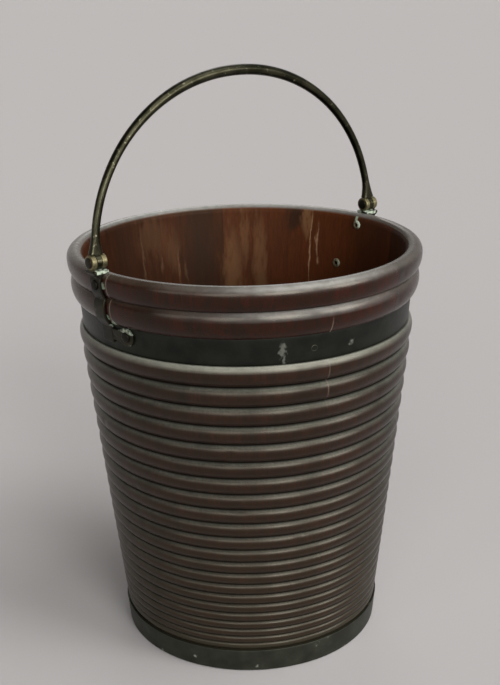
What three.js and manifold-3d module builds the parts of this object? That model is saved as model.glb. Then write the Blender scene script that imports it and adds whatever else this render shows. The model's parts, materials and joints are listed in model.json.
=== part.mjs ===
// A coopered mahogany peat bucket, bound in brass, with a brass bail that swings on two hinges.
// Millimetres, +Z up. The origin is the centre of the foot, on the floor. +X runs along the bail's pivot.
import * as THREE from 'three';
import { mergeVertices } from 'three/addons/utils/BufferGeometryUtils.js';
import Module from 'manifold-3d';

const wasm = await Module();
wasm.setup();

// Body: the wall line is a cone, from which ribs, mouldings and hoops are set out
const BODY_HEIGHT = 410; // floor to the top of the rim
const FLOOR_RADIUS = 128.8; // wall line at the floor
const TOP_RADIUS = 172.3; // wall line at the top of the rim
const WALL = 12; // stave thickness behind the wall line
const STAVE_FLATS = [3, 3, 2, 3, 3, 3, 3, 3, 3, 3, 3, 2, 3, 3]; // stave widths, in flats of the turned body
const CLEARANCE = 0.3; // gap between pieces that seat on each other

// Mouldings under the rim, from the top down: rim bead, quirk, shoulder bead
const RIM_HEIGHT = 23;
const RIM_CREST_DROP = 8.7; // top of the rim down to its widest part
const RIM_FALL = 16.3; // half-height of the ellipse below the widest part, which the quirk cuts short
const RIM_PROJECTION = 4.5; // beyond the wall line
const QUIRK_DEPTH = 2.9; // behind the wall line
const SHOULDER_HEIGHT = 26;
const SHOULDER_CREST_DROP = 10; // quirk down to the widest part of the bead
const SHOULDER_FALL = 20; // half-height of the ellipse below the widest part, which the hoop cuts short
const SHOULDER_PROJECTION = 4.4;
const SHOULDER_OVERHANG = 1.1; // lower lip, beyond the hoop under it

// Ribs, which grow narrower from the hoop down to the foot
const RIB_COUNT = 22;
const RIB_GRADE = 2.8; // height of the top rib over the height of the lowest
const RIB_FULLNESS = 0.38; // rise of a rib from its grooves, over its height
const TOP_RIB_CREST = 4; // beyond the wall line
const LOW_RIB_CREST = 2.4;
const LEDGE_PROJECTION = 0.4; // flat end of the top rib under the hoop, beyond the wall line

// Brass hoops
const HOOP_THICKNESS = 1.8;
const UPPER_HOOP_HEIGHT = 26;
const UPPER_HOOP_DEPTH = 1.2; // outer face, behind the wall line
const BASE_HOOP_HEIGHT = 24;
const BASE_HOOP_PROUD = 4; // outer face, beyond the wall line
const BASE_HOOP_LIFT = 0.8; // lower edge, above the floor
const LAP_RIVET_RADIUS = 1.6;
const LAP_RIVET_HEAD = 3.2;
const LAP_RIVET_SPACING = 12;

// Base board, let into the croze
const BOARD_LIFT = 12; // underside above the floor
const BOARD_THICKNESS = 16;
const BOARD_EDGE = 6; // thickness left at the bevelled edge
const BOARD_BEVEL = 9; // width of the bevel
const CROZE_DEPTH = 5;
const FOOT_BEVEL = 3;

// Hinge brackets
const PIVOT_SET_IN = 1; // middle of the hinge, inside the widest part of the rim
const KNUCKLE_RADIUS = 7;
const KNUCKLE_WIDTH = 5.1;
const KNUCKLE_ROOT = 7; // width of the root under the round
const PIN_RADIUS = 3;
const PIN_HEAD_RADIUS = 5;
const PIN_HEAD_HEIGHT = 1.2;
const PLATE_THICKNESS = 2;
const STRAP_WIDTH = 16;
const STRAP_THICKNESS = 2.6;
const TOE_RADIUS = 9; // round end of the sideways foot, about its rivet
const TOE_NECK = 11; // height of the foot between strap and round end
const TOE_LIFT = 3.8; // middle of the foot, above the middle of the hoop
const STRAP_RIVET_RADIUS = 2.5;
const STRAP_RIVET_HEAD = 5;
const STRAP_RIVET_DOME = 1.8;
const ROVE_RADIUS = 4.8;
const ROVE_THICKNESS = 2;
const ROVE_RECESS = 0.8; // rivet end, below the face of its rove

// Bail
const BAIL_RISE = 155.2; // pivot to the middle of the bar at the top
const BAIL_LEAN = 3.7; // degrees from upright, towards +Y
const BAIL_MIDDLE_RADIUS = 5.25;
const BAIL_END_RADIUS = 3.8;
const BAIL_FOOT_WIDTH = 13.4; // along the pivot
const BAIL_FLARE = 17; // length over which the end widens into its foot
const BAIL_SQUARENESS = 0.98; // power of sine and cosine: 1 is an ellipse, less is squarer

// Fineness of round forms
const RIB_CHORDS = 3;
const BAIL_STEPS = 18; // from a foot to the middle
const BAIL_SIDES = 8;
const ROUND_SIDES = 8;

const material = (color, roughness, metalness) =>
  new THREE.MeshStandardMaterial({ color, roughness, metalness });
const STAVE_FINISHES = ['#38231c', '#422a20', '#33211b', '#3d2419'].map((color) => material(color, 0.42, 0));
const BOARD_FINISH = material('#4a2c1d', 0.6, 0);
const HOOP_FINISH = material('#3b3d34', 0.45, 0.8);
const BRACKET_FINISH = material('#6b6347', 0.45, 0.8);
const BAIL_FINISH = material('#5a5038', 0.35, 0.9);
const RIVET_FINISH = material('#8a7a4c', 0.4, 0.9);

const toRadians = THREE.MathUtils.degToRad;
const toDegrees = THREE.MathUtils.radToDeg;

// Heights and radii that follow from the sizes above
const wallRadius = (z) => FLOOR_RADIUS + ((TOP_RADIUS - FLOOR_RADIUS) * z) / BODY_HEIGHT;
const innerRadius = (z) => wallRadius(z) - WALL;
const upperHoopFace = (z) => wallRadius(z) - UPPER_HOOP_DEPTH;
const baseHoopFace = (z) => wallRadius(z) + BASE_HOOP_PROUD;
const hoopSeat = (face, z) => face(z) - HOOP_THICKNESS - CLEARANCE;
const wallLean = Math.atan((TOP_RADIUS - FLOOR_RADIUS) / BODY_HEIGHT);

const rimCrest = BODY_HEIGHT - RIM_CREST_DROP;
const rimOuter = wallRadius(rimCrest) + RIM_PROJECTION;
const rimCentre = (rimOuter + innerRadius(rimCrest)) / 2;
const rimHalfDepth = rimOuter - rimCentre;
const rimEnd = -toDegrees(Math.asin((RIM_HEIGHT - RIM_CREST_DROP) / RIM_FALL));
const rimMiddle = BODY_HEIGHT - RIM_HEIGHT / 2;
const quirkHeight = BODY_HEIGHT - RIM_HEIGHT;
const quirkRadius = wallRadius(quirkHeight) - QUIRK_DEPTH;
const shoulderCrest = quirkHeight - SHOULDER_CREST_DROP;
const shoulderOuter = wallRadius(shoulderCrest) + SHOULDER_PROJECTION;
const channelTop = quirkHeight - SHOULDER_HEIGHT;
const shoulderLip = upperHoopFace(channelTop) + SHOULDER_OVERHANG;
const shoulderEnd = -toDegrees(Math.asin((shoulderCrest - channelTop) / SHOULDER_FALL));
const shoulderHalfDepth = (shoulderOuter - shoulderLip) / (1 - Math.cos(toRadians(shoulderEnd)));
const upperHoopTop = channelTop - CLEARANCE;
const upperHoopBottom = upperHoopTop - UPPER_HOOP_HEIGHT;
const channelBottom = upperHoopBottom - CLEARANCE;
const baseHoopTop = BASE_HOOP_LIFT + BASE_HOOP_HEIGHT;
const footTop = baseHoopTop + CLEARANCE;

const crozeBottom = BOARD_LIFT + (BOARD_THICKNESS - BOARD_EDGE) / 2 - CLEARANCE;
const crozeTop = crozeBottom + BOARD_EDGE + 2 * CLEARANCE;
const crozeRadius = innerRadius(crozeBottom) + CROZE_DEPTH;

const plateTop = BODY_HEIGHT + CLEARANCE + PLATE_THICKNESS;
const pivotRadius = rimOuter - PIVOT_SET_IN;
const pivotHeight = plateTop + KNUCKLE_RADIUS + CLEARANCE;
const barrelLength = 3 * KNUCKLE_WIDTH + 2 * CLEARANCE;
const cutReach = 4 * WALL; // long enough to pass through any wall here

// All turned pieces share these flats, so that their faces lie parallel where they meet
const flatsRound = STAVE_FLATS.reduce((sum, flats) => sum + flats, 0);
const flatAngle = (2 * Math.PI) / flatsRound;
const firstJoint = Math.PI + flatAngle / 2; // puts each hinge in the middle of a flat
const onFlat = Math.cos(flatAngle / 2); // distance of a flat from the axis, as a share of its corners' radius
const lapAzimuth = 6 * flatAngle;

const at = (r, z) => new THREE.Vector2(r, z);

// Evenly spread values from one to another, both included
const spread = (from, to, steps) =>
  Array.from({ length: steps + 1 }, (_, i) => from + ((to - from) * i) / steps);

// Points of an ellipse at the given angles in degrees
function arc(centre, halfDepth, halfHeight, angles) {
  return angles.map((angle) => at(
    centre.x + halfDepth * Math.cos(toRadians(angle)),
    centre.y + halfHeight * Math.sin(toRadians(angle)),
  ));
}

// A closed geometry as a solid: each corner is held once, and faces that have shrunk to a line are left out
function solid(geometry) {
  const bare = geometry.clone();
  bare.deleteAttribute('normal');
  bare.deleteAttribute('uv');
  const whole = mergeVertices(bare);
  const corners = whole.index.array;
  const faces = [];
  for (let i = 0; i < corners.length; i += 3) {
    const face = [corners[i], corners[i + 1], corners[i + 2]];
    if (new Set(face).size === 3) {
      faces.push(...face);
    }
  }
  return new wasm.Manifold(new wasm.Mesh({
    numProp: 3,
    vertProperties: new Float32Array(whole.attributes.position.array),
    triVerts: new Uint32Array(faces),
  }));
}

function surface(manifold) {
  const mesh = manifold.getMesh();
  const geometry = new THREE.BufferGeometry();
  geometry.setAttribute('position', new THREE.BufferAttribute(new Float32Array(mesh.vertProperties), 3));
  geometry.setIndex(new THREE.BufferAttribute(new Uint32Array(mesh.triVerts), 1));
  geometry.computeVertexNormals();
  return geometry;
}

const join = (whole, added) => whole.add(added);
const cut = (whole, removed) => whole.subtract(removed);

// A full revolve of an outline that closes on itself or runs from axis to axis
function turned(outline) {
  const geometry = new THREE.LatheGeometry(outline, flatsRound, firstJoint + Math.PI / 2, 2 * Math.PI);
  return geometry.rotateX(Math.PI / 2);
}

// Part of a revolve of a closed outline, with both ends filled in
function sector(outline, start, sweep, flats) {
  const geometry = new THREE.LatheGeometry([...outline, outline[0]], flats, start + Math.PI / 2, sweep);
  const lastRow = flats * (outline.length + 1);
  const index = [...geometry.index.array];
  for (const [a, b, c] of THREE.ShapeUtils.triangulateShape(outline, [])) {
    index.push(a, b, c);
    index.push(lastRow + c, lastRow + b, lastRow + a);
  }
  geometry.setIndex(index);
  return geometry.rotateX(Math.PI / 2);
}

// A small round piece turned about +X from an outline of radius against length
function turnedAlongX(outline) {
  return new THREE.LatheGeometry(outline, ROUND_SIDES).rotateZ(-Math.PI / 2);
}

// A shape drawn in Y and Z, given a thickness along +X
function acrossX(shape, start, depth) {
  const options = { depth, bevelEnabled: false, curveSegments: ROUND_SIDES };
  const geometry = new THREE.ExtrudeGeometry(shape, options);
  return geometry.rotateX(Math.PI / 2).rotateZ(Math.PI / 2).translate(start, 0, 0);
}

// A skin over rings of points, with both end rings filled in
function loft(rings) {
  const sides = rings[0].length;
  const index = [];
  for (let i = 0; i < rings.length - 1; i += 1) {
    for (let j = 0; j < sides; j += 1) {
      const a = i * sides + j;
      const b = i * sides + ((j + 1) % sides);
      index.push(a, b, b + sides);
      index.push(a, b + sides, a + sides);
    }
  }
  const last = (rings.length - 1) * sides;
  for (let j = 1; j < sides - 1; j += 1) {
    index.push(0, j + 1, j);
    index.push(last, last + j, last + j + 1);
  }
  const geometry = new THREE.BufferGeometry().setFromPoints(rings.flat());
  geometry.setIndex(index);
  return geometry;
}

// Staves: the rib outline, where the hoop's channel cuts the top rib short, then the outline of the wall
function ribOutline() {
  const shares = Array.from({ length: RIB_COUNT }, (_, i) => 1 + ((RIB_GRADE - 1) * i) / (RIB_COUNT - 1));
  const allShares = shares.reduce((sum, share) => sum + share, 0);
  const points = [];
  let low = footTop;
  shares.forEach((share, i) => {
    const height = ((channelBottom - footTop) * share) / allShares;
    const rise = RIB_FULLNESS * height;
    const crest = LOW_RIB_CREST + ((TOP_RIB_CREST - LOW_RIB_CREST) * i) / (RIB_COUNT - 1);
    const cutShort = i === RIB_COUNT - 1 ? Math.asin(1 - (crest - LEDGE_PROJECTION) / rise) : 0;
    const end = Math.PI - cutShort;
    for (let k = 0; k < RIB_CHORDS; k += 1) {
      const angle = (end * k) / RIB_CHORDS;
      const z = low + (height * (1 - Math.cos(angle))) / (1 - Math.cos(end));
      points.push(at(wallRadius(z) + crest - rise * (1 - Math.sin(angle)), z));
    }
    low += height;
  });
  return points;
}

// The mouldings under the rim, set out from the wood by an offset. A share of onFlat gives them on a flat.
// Each bead is two elliptic arcs that meet at its widest part.
const rimUpper = (offset, angles, share = 1) =>
  arc(at(rimCentre * share, rimCrest), rimHalfDepth * share + offset, RIM_CREST_DROP + offset, angles);

const rimLower = (offset, angles, share = 1) =>
  arc(at(rimCentre * share, rimCrest), rimHalfDepth * share + offset, RIM_FALL + offset, angles);

function shoulderLower(offset, angles, share = 1) {
  const centre = at((shoulderOuter - shoulderHalfDepth) * share, shoulderCrest);
  return arc(centre, shoulderHalfDepth * share + offset, SHOULDER_FALL + offset, angles);
}

function shoulderUpper(offset, angles, share = 1) {
  const halfDepth = (shoulderOuter - quirkRadius) * share + offset;
  return arc(at(quirkRadius * share, shoulderCrest), halfDepth, SHOULDER_CREST_DROP + offset, angles);
}

function staveOutline() {
  return [
    at(innerRadius(0) + FOOT_BEVEL, 0),
    at(hoopSeat(baseHoopFace, 0), 0),
    at(hoopSeat(baseHoopFace, footTop), footTop),
    ...ribOutline(),
    at(wallRadius(channelBottom) + LEDGE_PROJECTION, channelBottom),
    at(hoopSeat(upperHoopFace, channelBottom), channelBottom),
    at(hoopSeat(upperHoopFace, channelTop), channelTop),
    ...shoulderLower(0, spread(shoulderEnd, 0, 3)),
    ...shoulderUpper(0, [45, 90]),
    ...rimLower(0, spread(rimEnd, 0, 2)),
    ...rimUpper(0, spread(30, 180, 5)),
    at(innerRadius(crozeTop), crozeTop),
    at(crozeRadius, crozeTop),
    at(crozeRadius, crozeBottom),
    at(innerRadius(crozeBottom), crozeBottom),
    at(innerRadius(FOOT_BEVEL), FOOT_BEVEL),
  ];
}

function piece(name, shape, finish) {
  const mesh = new THREE.Mesh(surface(shape), finish);
  mesh.name = name;
  return mesh;
}

function makeStaves(holes) {
  const outline = staveOutline();
  const halfGap = CLEARANCE / 2 / wallRadius(BODY_HEIGHT / 2);
  let azimuth = firstJoint;
  return STAVE_FLATS.map((flats, i) => {
    const sweep = flats * flatAngle;
    const wedge = solid(sector(outline, azimuth + halfGap, sweep - 2 * halfGap, flats));
    azimuth += sweep;
    const name = `stave_${String(i + 1).padStart(2, '0')}`;
    return piece(name, holes.reduce(cut, wedge), STAVE_FINISHES[i % STAVE_FINISHES.length]);
  });
}

function makeBaseBoard() {
  const edge = crozeRadius - CLEARANCE;
  const edgeBottom = crozeBottom + CLEARANCE;
  const edgeTop = edgeBottom + BOARD_EDGE;
  const shoulder = innerRadius(BOARD_LIFT) - CLEARANCE; // the thin edge runs in to here, then bevels
  const top = BOARD_LIFT + BOARD_THICKNESS;
  const outline = [
    at(0, BOARD_LIFT),
    at(shoulder - BOARD_BEVEL, BOARD_LIFT),
    at(shoulder, edgeBottom),
    at(edge, edgeBottom),
    at(edge, edgeTop),
    at(shoulder, edgeTop),
    at(shoulder - BOARD_BEVEL, top),
    at(0, top),
  ];
  return piece('base_board', solid(turned(outline)), BOARD_FINISH);
}

// Small hardware is made along +X, then stood on the body: x = 0 goes to a radius and height, and +X to an
// azimuth, tipped down by an angle
const stand = (geometry, { azimuth, radius, z, tip }) =>
  solid(geometry.rotateY(tip).translate(radius, 0, z).rotateZ(azimuth));

// The hole for a round shank
function hole(shank, place) {
  const radius = shank + CLEARANCE;
  const bar = new THREE.CylinderGeometry(radius, radius, cutReach, ROUND_SIDES);
  return stand(bar.rotateZ(-Math.PI / 2), place);
}

// A rivet with a low domed head that seats just off x = 0, and a shank that ends at x = -length
function rivet(shank, head, dome, length) {
  return turnedAlongX([
    at(0, -length),
    at(shank, -length),
    at(shank, CLEARANCE),
    at(head, CLEARANCE),
    ...arc(at(0, CLEARANCE + dome / 3), head, (dome * 2) / 3, spread(0, 60, 2)),
    at(0, CLEARANCE + dome),
  ]);
}

// Hoops: a strip closed into a ring, with its ends lapped and riveted on one flat
function makeHoop(name, face, bottom, top, holes) {
  const strip = (inner, outer) => [
    at(face(bottom) + inner, bottom),
    at(face(bottom) + outer, bottom),
    at(face(top) + outer, top),
    at(face(top) + inner, top),
  ];
  const ring = strip(-HOOP_THICKNESS, 0);
  const lap = sector(strip(-HOOP_THICKNESS / 2, HOOP_THICKNESS), lapAzimuth - flatAngle / 2, flatAngle, 1);
  const places = [-1, 1].map((side) => {
    const z = (bottom + top) / 2 + (side * LAP_RIVET_SPACING) / 2;
    return { azimuth: lapAzimuth, radius: (face(z) + HOOP_THICKNESS) * onFlat, z, tip: wallLean };
  });
  const rivets = places.map((place, i) => {
    const shape = rivet(LAP_RIVET_RADIUS, LAP_RIVET_HEAD, HOOP_THICKNESS, 2 * HOOP_THICKNESS);
    return piece(`${name}_rivet_${i + 1}`, stand(shape, place), RIVET_FINISH);
  });
  const rivetHoles = places.map((place) => hole(LAP_RIVET_RADIUS, place));
  const whole = solid(turned([...ring, ring[0]])).add(solid(lap));
  return [piece(name, [...holes, ...rivetHoles].reduce(cut, whole), HOOP_FINISH), ...rivets];
}

// Hinge brackets, made for the hinge on +X and turned half round for the other
const strapInner = CLEARANCE;
const strapOuter = CLEARANCE + STRAP_THICKNESS;
const toeHeight = (upperHoopTop + upperHoopBottom) / 2 + TOE_LIFT;
const toeAzimuth = flatAngle; // the foot reaches to the middle of the next flat
const barrelStart = pivotRadius - barrelLength / 2;
const knuckleStart = (i) => barrelStart + i * (KNUCKLE_WIDTH + CLEARANCE);

// Side view of the casting: up the outside, over the plate, then down against the wood. It bridges the quirk
// and the hollow above the hoop, so its angles stop short of the ends of the beads.
function strapShape() {
  const bottom = toeHeight - TOE_RADIUS;
  const bend = upperHoopTop - STRAP_THICKNESS;
  const plateOuter = barrelStart + barrelLength;
  return new THREE.Shape([
    at(upperHoopFace(bottom) * onFlat + strapInner, bottom),
    at(upperHoopFace(bottom) * onFlat + strapOuter, bottom),
    at(upperHoopFace(bend) * onFlat + strapOuter, bend),
    ...shoulderLower(strapOuter, spread(shoulderEnd * 0.8, 0, 3), onFlat),
    ...shoulderUpper(strapOuter, [35], onFlat),
    ...rimLower(strapOuter, spread(rimEnd * 0.6, 0, 2), onFlat),
    ...rimUpper(strapOuter, [20], onFlat),
    at(plateOuter, plateTop - PLATE_THICKNESS),
    at(plateOuter, plateTop),
    at(barrelStart, plateTop),
    at(barrelStart, plateTop - PLATE_THICKNESS),
    ...rimUpper(strapInner, spread(90, 30, 2), onFlat),
    ...rimLower(strapInner, spread(0, rimEnd * 0.75, 3), onFlat),
    ...shoulderUpper(strapInner, [45], onFlat),
    ...shoulderLower(strapInner, spread(0, shoulderEnd, 3), onFlat),
  ]);
}

// Outline of the sideways foot: square under the strap, with a neck and a round end about its rivet
function toeShape() {
  const half = STRAP_WIDTH / 2;
  const middle = upperHoopFace(toeHeight) * onFlat * Math.sin(toeAzimuth);
  const meeting = Math.asin(TOE_NECK / 2 / TOE_RADIUS);
  const shape = new THREE.Shape();
  shape.moveTo(-half, toeHeight - TOE_RADIUS);
  shape.lineTo(half, toeHeight - TOE_RADIUS);
  shape.lineTo(half, toeHeight - TOE_NECK / 2);
  shape.absarc(middle, toeHeight, TOE_RADIUS, Math.PI + meeting, 3 * Math.PI - meeting);
  shape.lineTo(half, toeHeight + TOE_NECK / 2);
  shape.lineTo(half, toeHeight + TOE_RADIUS);
  shape.lineTo(-half, toeHeight + TOE_RADIUS);
  return shape;
}

// A round knuckle about the pivot, with a narrower root above or below it
function knuckleShape(root, height) {
  const half = KNUCKLE_ROOT / 2;
  const meeting = toDegrees(Math.acos(half / KNUCKLE_RADIUS));
  const halfHeight = Math.sign(height - root) * KNUCKLE_RADIUS;
  const angles = spread(180 + meeting, -meeting, 2 * ROUND_SIDES);
  const round = arc(at(0, height), KNUCKLE_RADIUS, halfHeight, angles);
  return new THREE.Shape([at(-half, root), ...round, at(half, root)]);
}

const toeFace = (upperHoopFace(toeHeight) + strapOuter) * onFlat;
const rivetPlaces = [
  { azimuth: 0, radius: rimOuter * onFlat + strapOuter, z: rimMiddle, tip: 0 },
  { azimuth: toeAzimuth, radius: toeFace, z: toeHeight, tip: wallLean },
];
const strapHoles = rivetPlaces.map((place) => hole(STRAP_RIVET_RADIUS, place));

const pinHole = (z) => hole(PIN_RADIUS, { azimuth: 0, radius: pivotRadius, z, tip: 0 });

function bracketShape() {
  const depth = STRAP_WIDTH;
  const strap = new THREE.ExtrudeGeometry(strapShape(), { depth, bevelEnabled: false });
  strap.rotateX(Math.PI / 2).translate(0, depth / 2, 0);
  const footLow = toeHeight - TOE_RADIUS;
  const footHigh = toeHeight + TOE_RADIUS;
  const footWall = [
    at(upperHoopFace(footLow) + strapInner, footLow),
    at(upperHoopFace(footLow) + strapOuter, footLow),
    at(upperHoopFace(footHigh) + strapOuter, footHigh),
    at(upperHoopFace(footHigh) + strapInner, footHigh),
  ];
  const foot = solid(sector(footWall, -flatAngle / 2, 2 * flatAngle, 2));
  const outline = solid(acrossX(toeShape(), pivotRadius - cutReach, 2 * cutReach));
  const lug = knuckleShape(plateTop - PLATE_THICKNESS / 2, pivotHeight);
  const lugs = [0, 2].map((i) => solid(acrossX(lug, knuckleStart(i), KNUCKLE_WIDTH)));
  const body = [foot.intersect(outline), ...lugs].reduce(join, solid(strap));
  return [...strapHoles, pinHole(pivotHeight)].reduce(cut, body);
}

function pinShape() {
  const half = barrelLength / 2 + CLEARANCE;
  const end = half + PIN_HEAD_HEIGHT;
  const pin = turnedAlongX([
    at(0, -end),
    at(PIN_HEAD_RADIUS, -end),
    at(PIN_HEAD_RADIUS, -half),
    at(PIN_RADIUS, -half),
    at(PIN_RADIUS, half),
    at(PIN_HEAD_RADIUS, half),
    at(PIN_HEAD_RADIUS, end),
    at(0, end),
  ]);
  return stand(pin, { azimuth: 0, radius: pivotRadius, z: pivotHeight, tip: 0 });
}

// Distance through strap and wall at a rivet, along the rivet
function throughWall({ radius, z, tip }) {
  const lowestEdge = tip === 0 ? z - ROVE_RADIUS : z;
  return (radius - innerRadius(lowestEdge) * onFlat) * Math.cos(tip);
}

function strapRivetShape(place) {
  const length = throughWall(place) + CLEARANCE + ROVE_THICKNESS - ROVE_RECESS;
  return stand(rivet(STRAP_RIVET_RADIUS, STRAP_RIVET_HEAD, STRAP_RIVET_DOME, length), place);
}

function roveShape(place) {
  const back = -throughWall(place) - CLEARANCE;
  const front = back - ROVE_THICKNESS;
  const bore = STRAP_RIVET_RADIUS + CLEARANCE;
  const outline = [
    at(bore, front),
    at((bore + ROVE_RADIUS) / 2, front),
    at(ROVE_RADIUS, back - ROVE_THICKNESS / 2),
    at(ROVE_RADIUS, back),
    at(bore, back),
  ];
  return stand(turnedAlongX([...outline, outline[0]]), place);
}

function makeHinge(side, turn) {
  const hinge = new THREE.Group();
  hinge.rotation.z = turn;
  hinge.add(piece(`${side}_bracket`, bracketShape(), BRACKET_FINISH));
  hinge.add(piece(`${side}_hinge_pin`, pinShape(), RIVET_FINISH));
  ['upper', 'lower'].forEach((level, i) => {
    hinge.add(piece(`${side}_${level}_rivet`, strapRivetShape(rivetPlaces[i]), RIVET_FINISH));
    hinge.add(piece(`${side}_${level}_rove`, roveShape(rivetPlaces[i]), RIVET_FINISH));
  });
  return hinge;
}

// Bail: rings square to a path in X and Z about the pivot, from one foot to the other
function bailRings() {
  const footBottom = KNUCKLE_RADIUS + CLEARANCE;
  const start = Math.asin((footBottom / BAIL_RISE) ** (1 / BAIL_SQUARENESS));
  const stations = Array.from({ length: BAIL_STEPS + 1 }, (_, i) => {
    const angle = start + (Math.PI / 2 - start) * (i / BAIL_STEPS) ** 1.5; // closer together towards the foot
    const z = BAIL_RISE * Math.sin(angle) ** BAIL_SQUARENESS;
    const flare = Math.max(0, 1 - (z - footBottom) / BAIL_FLARE) ** 2;
    const radius = BAIL_END_RADIUS + (BAIL_MIDDLE_RADIUS - BAIL_END_RADIUS) * Math.sin(angle) ** 3;
    return {
      x: -pivotRadius * Math.abs(Math.cos(angle)) ** BAIL_SQUARENESS,
      z,
      halfWidth: radius + (BAIL_FOOT_WIDTH / 2 - radius) * flare,
      radius,
    };
  });
  const otherHalf = stations.slice(0, -1).reverse();
  stations.push(...otherHalf.map((station) => ({ ...station, x: -station.x })));
  return stations.map((station, i) => {
    const before = stations[Math.max(i - 1, 0)];
    const after = stations[Math.min(i + 1, stations.length - 1)];
    const way = at(after.x - before.x, after.z - before.z).normalize();
    return Array.from({ length: BAIL_SIDES }, (_, j) => {
      const angle = (2 * Math.PI * (j + 0.5)) / BAIL_SIDES;
      const sideways = station.halfWidth * Math.cos(angle);
      return new THREE.Vector3(
        station.x + way.y * sideways,
        station.radius * Math.sin(angle),
        station.z - way.x * sideways,
      );
    });
  });
}

function makeBail() {
  const tongue = knuckleShape(KNUCKLE_RADIUS + BAIL_FLARE / 4, 0);
  const start = knuckleStart(1);
  const tongues = [start, -start - KNUCKLE_WIDTH].map((x) => solid(acrossX(tongue, x, KNUCKLE_WIDTH)));
  const bar = tongues.reduce(join, solid(loft(bailRings())));
  const holes = [pinHole(0), pinHole(0).rotate([0, 0, 180])];
  const group = new THREE.Group();
  group.add(piece('bail', holes.reduce(cut, bar), BAIL_FINISH));
  group.position.z = pivotHeight;
  group.rotation.x = -toRadians(BAIL_LEAN);
  return group;
}

const allStrapHoles = [...strapHoles, ...strapHoles.map((shape) => shape.rotate([0, 0, 180]))];
const bucket = new THREE.Group();
bucket.add(...makeStaves(allStrapHoles), makeBaseBoard());
bucket.add(...makeHoop('upper_hoop', upperHoopFace, upperHoopBottom, upperHoopTop, allStrapHoles));
bucket.add(...makeHoop('base_hoop', baseHoopFace, BASE_HOOP_LIFT, baseHoopTop, []));
bucket.add(makeHinge('right', 0), makeHinge('left', Math.PI));
bucket.add(makeBail());

export default bucket;
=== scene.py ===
import json
import math

import bmesh
import bpy
import numpy as np
from mathutils import Matrix, Quaternion, Vector, noise


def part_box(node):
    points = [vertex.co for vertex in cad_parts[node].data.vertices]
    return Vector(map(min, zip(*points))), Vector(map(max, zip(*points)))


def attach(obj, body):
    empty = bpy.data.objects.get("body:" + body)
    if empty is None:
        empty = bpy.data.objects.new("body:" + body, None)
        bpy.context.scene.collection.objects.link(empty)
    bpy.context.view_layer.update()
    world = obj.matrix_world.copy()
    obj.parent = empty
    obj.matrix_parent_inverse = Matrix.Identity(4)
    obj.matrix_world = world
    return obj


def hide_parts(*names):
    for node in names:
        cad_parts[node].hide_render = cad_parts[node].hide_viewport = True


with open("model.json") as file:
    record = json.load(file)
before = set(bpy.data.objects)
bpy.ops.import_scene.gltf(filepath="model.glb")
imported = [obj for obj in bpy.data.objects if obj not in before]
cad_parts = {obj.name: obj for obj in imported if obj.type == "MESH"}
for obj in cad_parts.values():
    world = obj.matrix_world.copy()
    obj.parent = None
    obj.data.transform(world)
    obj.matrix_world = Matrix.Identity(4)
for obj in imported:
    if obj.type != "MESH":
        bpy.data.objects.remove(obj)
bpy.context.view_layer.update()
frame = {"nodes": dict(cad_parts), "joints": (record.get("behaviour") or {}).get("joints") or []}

MM = 0.001  # sizes below are in millimetres, and meshes are made in metres
MADE_CREASE, CAST_CREASE, BAIL_CREASE = 40, 50, 35  # degrees over which an edge is drawn sharp

# Heights and places that the frame gives
BODY_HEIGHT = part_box("stave_01")[1].z / MM
UPPER_HOOP_LOW, UPPER_HOOP_HIGH = (corner.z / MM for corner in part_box("upper_hoop"))
BASE_HOOP_LOW, BASE_HOOP_HIGH = (corner.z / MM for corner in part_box("base_hoop"))
BOARD_LOW, BOARD_HIGH = (corner.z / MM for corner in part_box("base_board"))
BOARD_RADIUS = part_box("base_board")[1].y / MM
PIVOT_HEIGHT = frame["joints"][0]["pos_m"][2] / MM
BARREL_INNER, BARREL_OUTER = (corner.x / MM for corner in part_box("right_hinge_pin"))
PIVOT_RADIUS = (BARREL_INNER + BARREL_OUTER) / 2

# Wall: the wall line is a cone, from which ribs, mouldings and hoops are set out
FLOOR_RADIUS = 128.8
TOP_RADIUS = 172.3
WALL = 12
GRAIN_RADIUS = 150  # turns azimuth into a width across the grain
JOINT_GAP = 0.02
STAVE_STEP = 0.03  # how far one stave may stand proud of the next
RIPPLE = 0.14  # unevenness of the turned surface
RIPPLE_LENGTH = 24
COLUMN_ANGLE = 1.0  # degrees
ARRIS = [(0.0, 0.01), (0.4, 0.0), (0.8, 0.0)]  # distance from the joint, and how far it is eased there
SEAM_REACH = 0.8  # how far from the joint its filler shows
SEAM_FADE = 20  # length over which a pale joint begins and ends
LEFT_JOINT, FRONT_JOINT = 184.5, 256.5  # azimuths of two joints that show pale
DENTS = 60
DENT_LIMITS = [(0, 360), (30, BODY_HEIGHT), (3, 6), (0.25, 0.7)]  # azimuth, height, reach and depth

# Mouldings under the rim
RIM_HEIGHT = 23
RIM_CREST_DROP = 8.7
RIM_FALL = 16.3
RIM_PROJECTION = 4.5
QUIRK_DEPTH = 2.9
SHOULDER_HEIGHT = 26
SHOULDER_CREST_DROP = 10
SHOULDER_FALL = 20
SHOULDER_PROJECTION = 4.4
SHOULDER_OVERHANG = 1.1

# Ribs
RIB_COUNT = 22
RIB_GRADE = 2.8
RIB_FULLNESS = 0.38
TOP_RIB_CREST = 4
LOW_RIB_CREST = 2.4
LEDGE_PROJECTION = 0.4
RIB_STEPS = 14

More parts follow.
